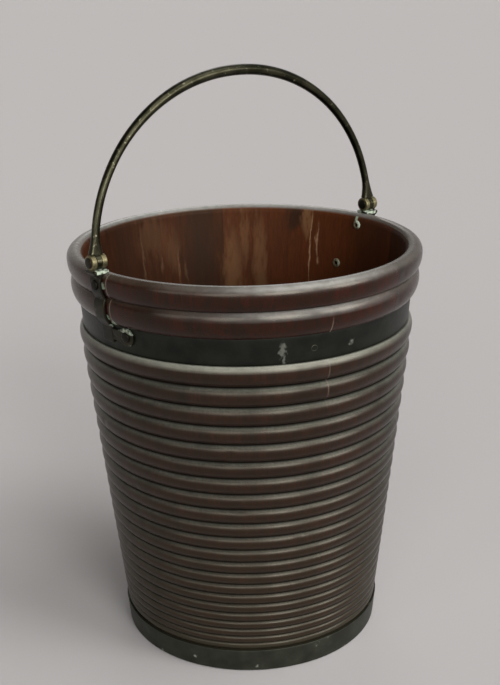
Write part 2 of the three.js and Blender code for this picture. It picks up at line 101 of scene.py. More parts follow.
# Hoops
HOOP_THICKNESS = 1.8
HOOP_EDGE = 0.6  # rounding of the strip
UPPER_HOOP_DEPTH = 1.2
BASE_HOOP_PROUD = 4
HOOP_DENT = 0.25
HOOP_DENT_LENGTH = 14
HOOP_DENTS_ROUND = 4
HOOP_TRUE = 20  # degrees from its ends over which a hoop is without dents
LAP_AZIMUTH = 54
LAP_ANGLE = 9
LAP_RAMP = 6  # degrees over which the upper end climbs on the lower one
LAP_RIVET_SPACING = 12
LAP_RIVET_RADIUS = 1.6
LAP_RIVET_HEAD = 3.2
FLUSH_PINS = [(251.6, 347.2, 3.0), (265.6, 345.8, 1.4)]  # azimuth, height and radius on the upper hoop
FLUSH_PIN_OUTLINE = [  # share of the radius, and distance out from the hoop
    (0.6, -6), (0.6, -0.6), (1, -0.2), (1, 0.1), (0.9, 0.22), (0.8, 0.06), (0.5, 0.12), (0.1, 0.14)]

# Base board
BOARD_EDGE = 6
BOARD_BEVEL = 9
BOARD_HEART = 8  # radius of the plain face in the middle
BOARD_WARP = 0.25
BOARD_WARP_SIZES = (40, 14, 40)  # along the grain, across it and up
BOARD_TONE = 0.2
CROZE_DEPTH = 5
FOOT_BEVEL = 3

# Hinges
STRAP_WIDTH = 16
STRAP_THICKNESS = 2.6
STRAP_SEAT = 0.05  # gap between strap and wood
PLATE_THICKNESS = 2
PLATE_LENGTH = 15.9
KNUCKLE_RADIUS = 7
KNUCKLE_WIDTH = 5.1
KNUCKLE_ROOT = 7
CLEARANCE = 0.3
TOE_AZIMUTH = 9
TOE_LIFT = 3.8
TOE_RADIUS = 9
TOE_NECK = 11
PIN_RADIUS = 3
PIN_HEAD_RADIUS = 5
PIN_HEAD_HEIGHT = 1.2
RIVET_RADIUS = 2.5
RIVET_HEAD = 5
RIVET_DOME = 1.8
ROVE_RADIUS = 4.8
ROVE_THICKNESS = 2
ROVE_SLACK = 0.1
ROVE_CROWN = 3.4  # radius of its raised face
RIVET_TAIL = [(0.8, 1.1), (1.5, 0.9), (1.7, 0.4)]  # radius, and how far it stands past the wood
HAMMER_DEPTH = 0.12
HAMMER_BLOWS = 0.55  # in a millimetre
CASTING_BORE, TONGUE_BORE = 40, 20  # lengths of the cutters for the pins' holes
CASTING_VOXEL = 0.45
CASTING_SOFTENING = 4  # rounds of smoothing

# Bail
BAIL_RISE = 155.2
BAIL_LEAN = 3.7  # degrees towards +Y
BAIL_MIDDLE_RADIUS = 5.25
BAIL_END_RADIUS = 3.8
BAIL_FOOT_WIDTH = 13.4
BAIL_FLARE = 17
BAIL_SQUARENESS = 0.98
BAIL_FOOT_SQUARENESS = 0.62  # of the bar's section at its feet
BAIL_UNEVENNESS = 0.2
BAIL_UNEVEN_LENGTH = 30

# Camera, placed by the outline of the rim, hoops and foot in the photograph
CAMERA_AZIMUTH = 40  # degrees that the bail's pivot is turned from square to the view
CAMERA_DISTANCE = 1151.7
CAMERA_HEIGHT = 693.2
CAMERA_PITCH = 18.776
CAMERA_ROLL = -1.15
CAMERA_LENS = 62.45
CAMERA_SHIFT = 0.0053


def colour(code):
    """An sRGB hex value as linear red, green, blue and alpha."""
    channels = [int(code[i:i + 2], 16) / 255 for i in (1, 3, 5)]
    return (*[c / 12.92 if c <= 0.04045 else ((c + 0.055) / 1.055) ** 2.4 for c in channels], 1.0)


def add(tree, kind, inputs=None, out=0, **settings):
    """Adds a node with its settings, fills its inputs with values or links, and returns an output."""
    node = tree.nodes.new("ShaderNode" + kind)
    for name, value in settings.items():
        setattr(node, name, value)
    for key, value in (inputs or {}).items():
        if isinstance(value, bpy.types.NodeSocket):
            tree.links.new(value, node.inputs[key])
        else:
            node.inputs[key].default_value = value
    return node.outputs[out] if node.outputs else None


def cells(width, length, depth):
    """What a place in metres is multiplied by, so that a unit pattern gets these sizes in millimetres."""
    return (1 / (width * MM), 1 / (length * MM), 1 / (depth * MM))


def new_material(name):
    material = bpy.data.materials.new(name)
    material.use_nodes = True
    material.node_tree.nodes.clear()
    return material, material.node_tree


def patterns(tree, place, sizes):
    """Noise patterns of the given sizes in millimetres, by name."""
    made = {}
    for name, size in sizes.items():
        scaled = add(tree, "VectorMath", {0: place, 1: cells(*size)}, operation="MULTIPLY")
        made[name] = add(tree, "TexNoise", {"Vector": scaled, "Scale": 1.0, "Detail": 3.0})
    return made


def layered(tree, base, coats):
    """A base colour under coats of other colours, each with its share of the surface."""
    body = colour(base)
    for share, tint in coats:
        # A colour Mix has its share at input 0, its colours at 6 and 7, and its result at output 2
        body = add(tree, "Mix", {0: share, 6: body, 7: colour(tint)}, out=2, data_type="RGBA")
    return body


def waxed_mahogany(name, dark, light, sheen_dust_shade, highlight_scuff_shade, sheen_dust_share, gloss, refraction, pores):
    """Mahogany, turned in ribs, stained and waxed for many years. It gives the eye a near-black red-brown
    with a soft sheen along each rib, black wax in the grooves, redder patches where it is rubbed, and pale
    filler here and there in the joints. Dark and light are the shades of the wood. The next two arguments are
    the colour and share of a dusty bloom on upward faces, strongest higher up, which also stands as painted
    sheen on the upper side of each rib and bead. The one after is the colour of scuffed polish, which also
    paints the highlights on the rim, shoulder and ledge. Gloss is the least roughness, refraction that of the
    wax, and pores the depth of the grain in millimetres."""
    material, tree = new_material(name)
    grain, place = (add(tree, "Attribute", out="Vector", attribute_name=kept) for kept in ("grain", "place"))
    height = add(tree, "SeparateXYZ", {0: place}, out=1)
    tone, hollow, seam, fitting, upward, wear_and_highlight = (
        add(tree, "Attribute", out="Fac", attribute_name=kept)
        for kept in ("tone", "hollow", "seam", "fitting", "upward", "wear_and_highlight"))
    # Pores are about 0.2 mm wide, and are drawn as fibres of 1.6 mm so that they show
    p = patterns(tree, grain, {
        "fibre": (1.6, 26, 1.6),
        "stripe": (7, 150, 7),
        "patch": (26, 44, 26),
        "smudge": (9, 5, 9),
        "lathe": (40, 0.9, 40),
        "speckle": (2.4, 1.6, 2.4),
    })
    figure = add(tree, "Math", {0: p["stripe"], 1: 0.55, 2: tone}, operation="MULTIPLY_ADD")
    figure = add(tree, "Math", {0: p["patch"], 1: 0.5, 2: figure}, operation="MULTIPLY_ADD")
    redness = add(tree, "MapRange", {"Value": figure, "From Min": 0.45, "From Max": 1.25})
    streak = add(tree, "MapRange", {"Value": p["fibre"], "From Min": 0.35, "From Max": 0.65, "To Max": 0.75})
    low = add(tree, "MapRange", {"Value": height, "From Min": 230.0, "From Max": 20.0, "To Max": 0.6})
    # Dusty bloom on upward faces, which also stands as painted sheen on the upper side of each rib and bead
    dust_and_sheen = add(tree, "MapRange", {"Value": upward, "From Min": 0.15, "From Max": 0.8, "To Max": sheen_dust_share},
                  interpolation_type="SMOOTHSTEP")
    uneven = add(tree, "MapRange", {"Value": p["patch"], "From Min": 0.3, "From Max": 0.65, "To Min": 0.6})
    grains = add(tree, "MapRange", {
        "Value": p["speckle"], "From Min": 0.35, "From Max": 0.65, "To Min": 0.85, "To Max": 1.1})
    threads = add(tree, "MapRange", {
        "Value": p["fibre"], "From Min": 0.35, "From Max": 0.65, "To Min": 1.15, "To Max": 0.85})
    # The bloom and painted sheen grow from weak near the foot to strong near the top
    rubbed = add(tree, "MapRange", {
        "Value": height, "From Min": 20.0, "From Max": 330.0, "To Min": 0.35, "To Max": 1.25})
    for share in (uneven, grains, threads, rubbed):
        dust_and_sheen = add(tree, "Math", {0: dust_and_sheen, 1: share}, operation="MULTIPLY")
    # Pale scuffing on the rim's back, partly painted highlight, and painted highlights on the front of rim
    # and shoulder and on the ledge under the hoop
    scraped_and_highlit = add(tree, "MapRange", {"Value": p["smudge"], "From Min": 0.35, "From Max": 0.6, "To Min": 0.75})
    scraped_and_highlit = add(tree, "Math", {0: wear_and_highlight, 1: scraped_and_highlit}, operation="MULTIPLY")
    wax = add(tree, "MapRange", {"Value": hollow, "From Min": 0.35, "From Max": 0.8},
              interpolation_type="SMOOTHSTEP")
    silt = add(tree, "MapRange", {
        "Value": height, "From Min": FOOT_TOP + 12, "From Max": FOOT_TOP, "To Max": 0.6},
        interpolation_type="SMOOTHSTEP")
    crust = add(tree, "Math", {0: fitting, 1: p["smudge"]}, operation="MULTIPLY")
    green = add(tree, "MapRange", {"Value": crust, "From Min": 0.3, "From Max": 0.5, "To Max": 0.8})
    body = layered(tree, dark, [
        (redness, light), (streak, "#0f0905"), (low, "#241d12"), (dust_and_sheen, sheen_dust_shade), (scraped_and_highlit, highlight_scuff_shade),
        (wax, "#0c0806"), (silt, "#2b2a20"), (seam, "#9a8a78"), (green, "#7f8c78")])
    sheen = add(tree, "MapRange", {
        "Value": p["smudge"], "From Min": 0.3, "From Max": 0.7, "To Min": gloss, "To Max": gloss + 0.06})
    rough = add(tree, "Math", {0: wax, 1: 0.3, 2: sheen}, operation="MULTIPLY_ADD")
    relief = add(tree, "Math", {0: p["lathe"], 1: 0.6, 2: p["fibre"]}, operation="MULTIPLY_ADD")
    bump = add(tree, "Bump", {"Height": relief, "Strength": 0.35, "Distance": pores * MM})
    shader = add(tree, "BsdfPrincipled", {
        "Base Color": body, "Roughness": rough, "Normal": bump, "IOR": refraction,
        "Specular Tint": colour("#fff6e0")})
    add(tree, "OutputMaterial", {"Surface": shader})
    return material


# Marks on the bare inside: azimuth, half-width in degrees, height, half-height and strength
RUNS = [
    (21.9, 0.5, 364, 46, 0.6),
    (18.8, 0.6, 372, 24, 0.5),
    (18.1, 0.9, 352, 5, 0.5),
    (95.6, 0.7, 360, 32, 0.09),
    (78.6, 0.7, 345, 24, 0.12),
    (75.4, 0.7, 340, 14, 0.1),
    (86.4, 0.5, 353, 11, 0.1),
]
WORN = [
    (55.0, 5.0, 335, 50, 0.36),
    (43.5, 3.2, 345, 60, 0.32),
    (90.0, 9.0, 384, 26, 0.12),
    (81.0, 4.5, 366, 22, 0.15),
    (24.0, 3.0, 398, 18, 0.5),
    (49.5, 2.0, 372, 40, 0.25),
]
STAINS = [
    (68.5, 9.0, 340, 130, 0.6),
    (29.0, 4.0, 398, 32, 0.7),
    (-10.0, 12.0, 340, 130, 0.3),
    (106.0, 9.0, 350, 130, 0.35),
]
CRUSTS = [(0.6, 0.8, 405, 7, 0.9)]


def polar_place(tree, place):
    """A place in metres as azimuth in degrees and height in millimetres."""
    x, y, z = (add(tree, "SeparateXYZ", {0: place}, out=axis) for axis in range(3))
    azimuth = add(tree, "Math", {0: y, 1: x}, operation="ARCTAN2")
    azimuth = add(tree, "Math", {0: azimuth}, operation="DEGREES")
    height = add(tree, "Math", {0: z, 1: 1 / MM}, operation="MULTIPLY")
    return add(tree, "CombineXYZ", {0: azimuth, 1: height})


def strayed(tree, place, pattern, reach):
    """A place moved by a pattern, up to half the reach either way, so that marks get ragged edges."""
    moved = add(tree, "VectorMath", {0: pattern, 1: reach, 2: place}, operation="MULTIPLY_ADD")
    return add(tree, "VectorMath", {0: moved, 1: [r / 2 for r in reach]}, operation="SUBTRACT")


def marks(tree, place, spots):
    """Soft upright marks at the given spots."""
    total = 0.0
    for azimuth, half_width, height, half_height, strength in spots:
        away = add(tree, "VectorMath", {0: place, 1: (azimuth, height, 0)}, operation="SUBTRACT")
        stretch = (1 / half_width, 1 / half_height, 0)
        away = add(tree, "VectorMath", {0: away, 1: stretch}, operation="MULTIPLY")
        away = add(tree, "VectorMath", {0: away}, out="Value", operation="LENGTH")
        mark = add(tree, "MapRange", {"Value": away, "From Min": 1.2, "From Max": 0.3, "To Max": strength},
                   interpolation_type="SMOOTHSTEP")
        total = add(tree, "Math", {0: mark, 1: total}, operation="MAXIMUM")
    return total


def bare_mahogany():
    """Mahogany, planed and left bare, wetted and dried by years of use. It gives the eye a warm dull
    red-brown, different from stave to stave, with dark water stains, rubbed pale patches and thin pale runs,
    and along the top of the rim a pale colour that is partly wear and partly a painted highlight."""
    material, tree = new_material("bare_mahogany")
    grain, place = (add(tree, "Attribute", out="Vector", attribute_name=kept) for kept in ("grain", "place"))
    height = add(tree, "SeparateXYZ", {0: place}, out=1)
    tone, wear_and_highlight = (add(tree, "Attribute", out="Fac", attribute_name=kept) for kept in ("tone", "wear_and_highlight"))
    # Pores are about 0.2 mm wide, and are drawn as fibres of 0.8 mm so that they show
    p = patterns(tree, grain, {
        "fibre": (0.8, 24, 0.8),
        "stripe": (4, 140, 4),
        "cloud": (20, 50, 20),
        "ragged": (5, 22, 5),
        "speckle": (2.2, 3.5, 2.2),
    })
    figure = add(tree, "Math", {0: p["stripe"], 1: 0.5, 2: tone}, operation="MULTIPLY_ADD")
    redness = add(tree, "MapRange", {"Value": figure, "From Min": 0.15, "From Max": 1.15})
    streak = add(tree, "MapRange", {"Value": p["fibre"], "From Min": 0.4, "From Max": 0.72, "To Max": 0.4})
    astray = strayed(tree, place, p["ragged"], (7.0, 60.0, 0.0))
    wet = marks(tree, astray, STAINS)
    wet = add(tree, "Math", {0: p["cloud"], 1: 0.3, 2: wet}, operation="MULTIPLY_ADD", use_clamp=True)
    rubbed = marks(tree, astray, WORN)
    deep = add(tree, "MapRange", {"Value": height, "From Min": 330.0, "From Max": 60.0, "To Max": 0.55})
    runs = marks(tree, strayed(tree, place, p["ragged"], (4.0, 0.0, 0.0)), RUNS)
    broken = add(tree, "MapRange", {"Value": p["speckle"], "From Min": 0.3, "From Max": 0.6, "To Min": 0.5})
    pale = add(tree, "Math", {0: runs, 1: broken}, operation="MULTIPLY")
    crust = marks(tree, place, CRUSTS)
    # The pale colour along the top of the rim is partly wear and partly a painted highlight
    body = layered(tree, "#200e06", [
        (redness, "#612f12"), (streak, "#1f0f07"), (wet, "#20140d"), (rubbed, "#75573b"), (deep, "#1a0f09"),
        (pale, "#a58566"), (wear_and_highlight, "#b3a392"), (crust, "#8d9c86")])
    rough = add(tree, "MapRange", {
        "Value": p["cloud"], "From Min": 0.3, "From Max": 0.7, "To Min": 0.65, "To Max": 0.5})
    relief = add(tree, "Math", {0: p["fibre"], 1: 0.8, 2: pale}, operation="MULTIPLY_ADD")
    bump = add(tree, "Bump", {"Height": relief, "Strength": 0.4, "Distance": 0.2 * MM})
    shader = add(tree, "BsdfPrincipled", {
        "Base Color": body, "Roughness": rough, "Normal": bump, "IOR": 1.25,
        "Specular Tint": colour("#ffe6c8")})
    add(tree, "OutputMaterial", {"Surface": shader})
    return material


def aged_brass(name, dark, skin, bare, verdigris, edge, rub, crust, bloom, metallic, gloss, bright_above=900,
               scuffs=()):
    """Brass under an old patina. It gives the eye a dull dark skin in two shades, bare metal where it is
    rubbed, and pale green verdigris in hollows and patches. Dark, skin, bare and verdigris are their colours.
    Edge, rub, crust and bloom are the levels at which edges and spots turn bare, and verdigris starts and
    spreads. Gloss is the middle roughness, bright_above the height over which moving parts keep the metal
    bright, and scuffs are scraped spots."""
    material, tree = new_material(name)
    place = add(tree, "TexCoord", out="Object")
    height = add(tree, "SeparateXYZ", {0: place}, out=2)
    sharpness = add(tree, "NewGeometry", out="Pointiness")
    thick = add(tree, "Attribute", out="Fac", attribute_name="crust")
    # Fine scratches are drawn 0.5 mm wide so that they show
    p = patterns(tree, place, {"cloud": (16, 16, 16), "mottle": (3.5, 3.5, 3.5), "scratch": (0.5, 7, 4)})
    clouded = add(tree, "MapRange", {"Value": p["cloud"], "From Min": 0.35, "From Max": 0.65})
    raised = add(tree, "MapRange", {"Value": sharpness, "From Min": edge, "From Max": edge + 0.06})
    spotted = add(tree, "MapRange", {"Value": p["mottle"], "From Min": rub, "From Max": rub + 0.2})
    moving = add(tree, "MapRange", {
        "Value": height, "From Min": bright_above * MM, "From Max": (bright_above + 1.5) * MM, "To Max": 0.8})
    rubbed = add(tree, "Math", {0: raised, 1: spotted}, operation="MAXIMUM")
    rubbed = add(tree, "Math", {0: rubbed, 1: moving}, operation="MAXIMUM")
    sunk = add(tree, "MapRange", {"Value": sharpness, "From Min": 0.49, "From Max": 0.42})
    patchy = add(tree, "MapRange", {"Value": p["mottle"], "From Min": crust, "From Max": crust - 0.12})
    loose = add(tree, "MapRange", {"Value": p["cloud"], "From Min": bloom, "From Max": bloom + 0.12})
    crusted = add(tree, "Math", {0: sunk, 1: patchy}, operation="MULTIPLY")
    spread = add(tree, "Math", {0: loose, 1: patchy}, operation="MULTIPLY")
    green = add(tree, "Math", {0: crusted, 1: spread}, operation="MAXIMUM")
    green = add(tree, "Math", {0: green, 1: thick}, operation="MAXIMUM")
    scuffed = marks(tree, strayed(tree, polar_place(tree, place), p["mottle"], (3.0, 12.0, 0.0)), scuffs)
    body = layered(tree, dark, [(clouded, skin), (rubbed, bare), (green, verdigris), (scuffed, "#94968b")])
    metal = add(tree, "MapRange", {"Value": green, "To Min": metallic, "To Max": 0.0})
    polish = add(tree, "MapRange", {"Value": p["scratch"], "To Min": gloss - 0.08, "To Max": gloss + 0.12})
    rough = add(tree, "Math", {0: green, 1: 0.35, 2: polish}, operation="MULTIPLY_ADD")
    relief = add(tree, "Math", {0: p["scratch"], 1: 0.4, 2: p["mottle"]}, operation="MULTIPLY_ADD")
    bump = add(tree, "Bump", {"Height": relief, "Strength": 0.25, "Distance": 0.3 * MM})
    shader = add(tree, "BsdfPrincipled", {
        "Base Color": body, "Metallic": metal, "Roughness": rough, "Normal": bump})
    add(tree, "OutputMaterial", {"Surface": shader})
    return material


def sweep(rings, closed=False):
    """Points and faces of a skin over rings of points. Open ends are filled in."""
    rings = np.asarray(rings, float)
    count, sides = rings.shape[:2]
    faces = []
    for i in range(count if closed else count - 1):
        for j in range(sides):
            here, there = i * sides, (i + 1) % count * sides
            after = (j + 1) % sides
            faces.append((here + j, here + after, there + after, there + j))
    if not closed:
        faces.append(tuple(range(sides))[::-1])
        faces.append(tuple(range((count - 1) * sides, count * sides)))
    return rings.reshape(-1, 3), faces


def shade(mesh, crease):
    """Smooth faces, apart from edges that are sharper than the crease in degrees."""
    mesh.shade_smooth()
    mesh.set_sharp_from_angle(angle=math.radians(crease))


def make_piece(name, points, faces, *finishes):
    """An object with smooth faces and its normals outwards, from points in millimetres."""
    mesh = bpy.data.meshes.new(name)
    mesh.from_pydata((np.asarray(points) * MM).tolist(), [], faces)
    build = bmesh.new()
    build.from_mesh(mesh)
    bmesh.ops.recalc_face_normals(build, faces=build.faces)
    build.to_mesh(mesh)
    build.free()
    shade(mesh, MADE_CREASE)
    for finish in finishes:
        mesh.materials.append(FINISHES[finish])
    piece = bpy.data.objects.new(name, mesh)
    bpy.context.scene.collection.objects.link(piece)
    return piece


def settle(piece, body, slot, *nodes):
    """Rides the piece on its body and hides the solids that it stands for. The slot is not used."""
    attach(piece, body)
    if nodes:
        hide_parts(*nodes)


def store(piece, name, values):
    """Keeps a number or a vector for each point of the mesh, for its material to read."""
    values = np.asarray(values, np.float32)
    kind, field = ("FLOAT", "value") if values.ndim == 1 else ("FLOAT_VECTOR", "vector")
    attribute = piece.data.attributes.new(name, kind, "POINT")
    attribute.data.foreach_set(field, values.ravel())


# Outlines, in radius and height
def wall_line(z):
    return FLOOR_RADIUS + (TOP_RADIUS - FLOOR_RADIUS) * z / BODY_HEIGHT


def inner(z):
    return wall_line(z) - WALL


def upper_face(z):
    return wall_line(z) - UPPER_HOOP_DEPTH


def base_face(z):
    return wall_line(z) + BASE_HOOP_PROUD


WALL_LEAN = math.atan((TOP_RADIUS - FLOOR_RADIUS) / BODY_HEIGHT)
RIM_CREST = BODY_HEIGHT - RIM_CREST_DROP
RIM_OUTER = wall_line(RIM_CREST) + RIM_PROJECTION
RIM_CENTRE = (RIM_OUTER + inner(RIM_CREST)) / 2
RIM_END = -math.degrees(math.asin((RIM_HEIGHT - RIM_CREST_DROP) / RIM_FALL))
RIVET_HEIGHT = BODY_HEIGHT - RIM_HEIGHT / 2
QUIRK_HEIGHT = BODY_HEIGHT - RIM_HEIGHT
QUIRK_RADIUS = wall_line(QUIRK_HEIGHT) - QUIRK_DEPTH
SHOULDER_CREST = QUIRK_HEIGHT - SHOULDER_CREST_DROP
SHOULDER_OUTER = wall_line(SHOULDER_CREST) + SHOULDER_PROJECTION
CHANNEL_TOP = QUIRK_HEIGHT - SHOULDER_HEIGHT
CHANNEL_BOTTOM = UPPER_HOOP_LOW - CLEARANCE
SHOULDER_LIP = upper_face(CHANNEL_TOP) + SHOULDER_OVERHANG
SHOULDER_END = -math.degrees(math.asin((SHOULDER_CREST - CHANNEL_TOP) / SHOULDER_FALL))
SHOULDER_DEPTH = (SHOULDER_OUTER - SHOULDER_LIP) / (1 - math.cos(math.radians(SHOULDER_END)))
FOOT_TOP = BASE_HOOP_HIGH + CLEARANCE
CROZE_MIDDLE = (BOARD_LOW + BOARD_HIGH) / 2
TOE_HEIGHT = (UPPER_HOOP_LOW + UPPER_HOOP_HIGH) / 2 + TOE_LIFT
PLATE_TOP = PIVOT_HEIGHT - KNUCKLE_RADIUS - CLEARANCE


def ellipse(centre, half_depth, half_height, start, end, steps):
    """Points of an elliptic arc, with angles in degrees."""
    angles = np.radians(np.linspace(start, end, steps + 1))
    return [(centre[0] + half_depth * math.cos(a), centre[1] + half_height * math.sin(a)) for a in angles]


# Arcs of the two beads: centre, half-depth and half-height
RIM_UPPER = ((RIM_CENTRE, RIM_CREST), RIM_OUTER - RIM_CENTRE, RIM_CREST_DROP)
RIM_LOWER = ((RIM_CENTRE, RIM_CREST), RIM_OUTER - RIM_CENTRE, RIM_FALL)
SHOULDER_UPPER = ((QUIRK_RADIUS, SHOULDER_CREST), SHOULDER_OUTER - QUIRK_RADIUS, SHOULDER_CREST_DROP)
SHOULDER_LOWER = ((SHOULDER_OUTER - SHOULDER_DEPTH, SHOULDER_CREST), SHOULDER_DEPTH, SHOULDER_FALL)


def bead(curve, offset, start, end, steps):
    """Points along the curve of a bead, or along a line at an offset from it."""
    centre, half_depth, half_height = curve
    return ellipse(centre, half_depth + offset, half_height + offset, start, end, steps)


FINISHES = {
    # Outside of the staves: dusty wax over dark wood, the bloom also standing as painted sheen on each rib,
    # and its pale scuff colour as a painted highlight on the ledge under the hoop
    "waxed": waxed_mahogany(
        "waxed_mahogany", dark="#0f0502", light="#36180d", sheen_dust_shade="#868c80", highlight_scuff_shade="#a8a89a",
        sheen_dust_share=0.26, gloss=0.3, refraction=1.4, pores=0.15),
    # Rim and shoulder: redder and smoother, from being carried; their pale scuff colour also paints the
    # highlights on their front
    "handled": waxed_mahogany(
        "hand_polished_mahogany", dark="#120301", light="#3c0d04", sheen_dust_shade="#7f7868", highlight_scuff_shade="#c0c0ba",
        sheen_dust_share=0.12, gloss=0.22, refraction=1.38, pores=0.05),
    "bare": bare_mahogany(),
    # Rolled strip, blackened all over: a dull, nearly black band
    "upper_hoop": aged_brass(
        "rolled_brass_blackened", dark="#161813", skin="#20221b", bare="#7d765a", verdigris="#6d7766",
        edge=0.56, rub=0.78, crust=0.42, bloom=0.74, metallic=0.75, gloss=0.42,
        scuffs=[(-118.9, 1.0, 348, 9, 0.45), (-118.4, 0.8, 338, 7, 0.4), (-94.6, 0.8, 346, 4, 0.4)]),
    # Rolled strip that stood on damp floors: greyer, greener and more matt
    "base_hoop": aged_brass(
        "rolled_brass_grey_green", dark="#212219", skin="#2e3026", bare="#8a8468", verdigris="#79836f",
        edge=0.56, rub=0.74, crust=0.45, bloom=0.66, metallic=0.6, gloss=0.5,
        scuffs=[(-173.7, 0.8, 3, 2, 0.9), (-155.5, 0.9, 11, 2, 0.9), (-128, 0.7, 6, 2, 0.6)]),
    # Sand casting: a dark strap, pale crust in its corners, and knuckles that the bail keeps bright
    "bracket": aged_brass(
        "cast_brass_verdigris", dark="#1d1c15", skin="#322f23", bare="#7c7455", verdigris="#a4ae9b",
        edge=0.7, rub=0.76, crust=0.46, bloom=0.66, metallic=0.85, gloss=0.42, bright_above=413),
    # Turned pins and strap rivets: near-black domes
    "pin": aged_brass(
        "hinge_pin_brass", dark="#15140f", skin="#27241a", bare="#6b6348", verdigris="#8f9a86",
        edge=0.6, rub=0.8, crust=0.44, bloom=0.72, metallic=0.85, gloss=0.45),
    # Punched rings, crusted by damp: pale spots on the wood
    "rove": aged_brass(
        "rove_brass_crusted", dark="#3b382a", skin="#6f6b55", bare="#a69d7c", verdigris="#a4ae9b",
        edge=0.56, rub=0.62, crust=0.6, bloom=0.4, metallic=0.7, gloss=0.5),
    # Drawn and forged rod, held for years: olive-brown with bright streaks
    "bail": aged_brass(
        "drawn_brass_darkened", dark="#2b2a1f", skin="#413f31", bare="#97937a", verdigris="#7f8a74",
        edge=0.6, rub=0.62, crust=0.36, bloom=0.72, metallic=1.0, gloss=0.3),
    # Hammered lap rivets: yellow domes
    "rivet": aged_brass(
        "hammered_brass", dark="#5a5238", skin="#8a7d58", bare="#c2b486", verdigris="#93a088",
        edge=0.54, rub=0.6, crust=0.48, bloom=0.66, metallic=0.95, gloss=0.36),
}


def rib_rows():
    """The ribs from the foot up, each half an ellipse: radius, height and how deep in a groove it is."""
    shares = np.linspace(1, RIB_GRADE, RIB_COUNT)
    heights = (CHANNEL_BOTTOM - FOOT_TOP) * shares / shares.sum()
    crests = np.linspace(LOW_RIB_CREST, TOP_RIB_CREST, RIB_COUNT)
    rows, low = [], FOOT_TOP
    for i, (height, crest) in enumerate(zip(heights, crests)):
        rise = RIB_FULLNESS * height
        end = math.pi
        if i == RIB_COUNT - 1:
            end -= math.asin(1 - (crest - LEDGE_PROJECTION) / rise)
        for angle in np.linspace(0, end, RIB_STEPS, endpoint=False):
            z = low + height * (1 - math.cos(angle)) / (1 - math.cos(end))
            rows.append((wall_line(z) + crest - rise * (1 - math.sin(angle)), z, 1 - math.sin(angle)))
        low += height
    return rows


def stave_rows():
    """The closed outline of the wall: up the outside, over the rim and down the inside. Returns the rows, and
    for each of them the finish of the face that follows it: 0 waxed, 1 handled or 2 bare."""
    rows = [(inner(0) + FOOT_BEVEL, 0, 0), (base_face(0) - HOOP_THICKNESS, 0, 0)]
    rows.append((base_face(FOOT_TOP) - HOOP_THICKNESS, FOOT_TOP, 0))
    rows += rib_rows()
    rows.append((wall_line(CHANNEL_BOTTOM) + LEDGE_PROJECTION, CHANNEL_BOTTOM, 0))
    rows.append((upper_face(CHANNEL_BOTTOM) - HOOP_THICKNESS, CHANNEL_BOTTOM, 1))
    rows.append((upper_face(CHANNEL_TOP) - HOOP_THICKNESS, CHANNEL_TOP, 1))
    first_bead = len(rows)
    rows += [(r, z, 0) for r, z in bead(SHOULDER_LOWER, 0, SHOULDER_END, 0, 12)]
    rows += [(r, z, max(0, i - 4) / 4) for i, (r, z) in enumerate(bead(SHOULDER_UPPER, 0, 10, 90, 8))]
    rows += [(r, z, max(0, 2 - i) / 2) for i, (r, z) in enumerate(bead(RIM_LOWER, 0, RIM_END, 0, 14))]
    rows += [(r, z, 0) for r, z in bead(RIM_UPPER, 0, 6, 132, 21)]
    first_bare = len(rows)
    rows += [(r, z, 0) for r, z in bead(RIM_UPPER, 0, 138, 180, 7)]
    rows += [(inner(z), z, 0) for z in np.linspace(RIM_CREST - 5, CROZE_MIDDLE + BOARD_EDGE / 2, 64)]
    for side in (1, -1):
        z = CROZE_MIDDLE + side * BOARD_EDGE / 2
        rows.append((inner(z) + CROZE_DEPTH, z, 0))
    rows.append((inner(CROZE_MIDDLE - BOARD_EDGE / 2), CROZE_MIDDLE - BOARD_EDGE / 2, 0))
    rows.append((inner(FOOT_BEVEL), FOOT_BEVEL, 0))
    finish = np.zeros(len(rows), np.int32)
    finish[first_bead:first_bare] = 1
    finish[first_bare:] = 2
    return np.array(rows), finish


def into_wood(outline):
    """For each point of a closed outline, the unit direction into the wood."""
    along = np.roll(outline, -1, axis=0) - np.roll(outline, 1, axis=0)
    normals = np.column_stack([-along[:, 1], along[:, 0]])
    return normals / np.linalg.norm(normals, axis=1, keepdims=True)


def node_sides(node):
    """The azimuths, in degrees, of the two sides of a stave's solid."""
    points = np.array([v.co for v in frame["nodes"][node].data.vertices])
    middle = np.degrees(np.arctan2(*points.mean(axis=0)[1::-1]))
    turns = (np.degrees(np.arctan2(points[:, 1], points[:, 0])) - middle + 180) % 360 - 180
    return middle + turns.min(), middle + turns.max()


# Edges of the brackets where verdigris has crept on to the wood: azimuth, height and reach
FITTINGS = [(side + turn, z, reach) for side in (0, 180) for turn, z, reach in (
    (2.9, RIVET_HEIGHT, 4), (3.0, SHOULDER_CREST - 8, 4), (4.4, UPPER_HOOP_HIGH + 1, 5))]
FITTING_SPREAD = 1.6  # it fades out at this many times its reach
PALE_JOINTS = [  # azimuth, lowest and highest place, and strength
    (LEFT_JOINT, 330, 430, 0.4),
    (FRONT_JOINT, 345, 378, 0.6),
    (FRONT_JOINT, 285, 340, 0.22),
]
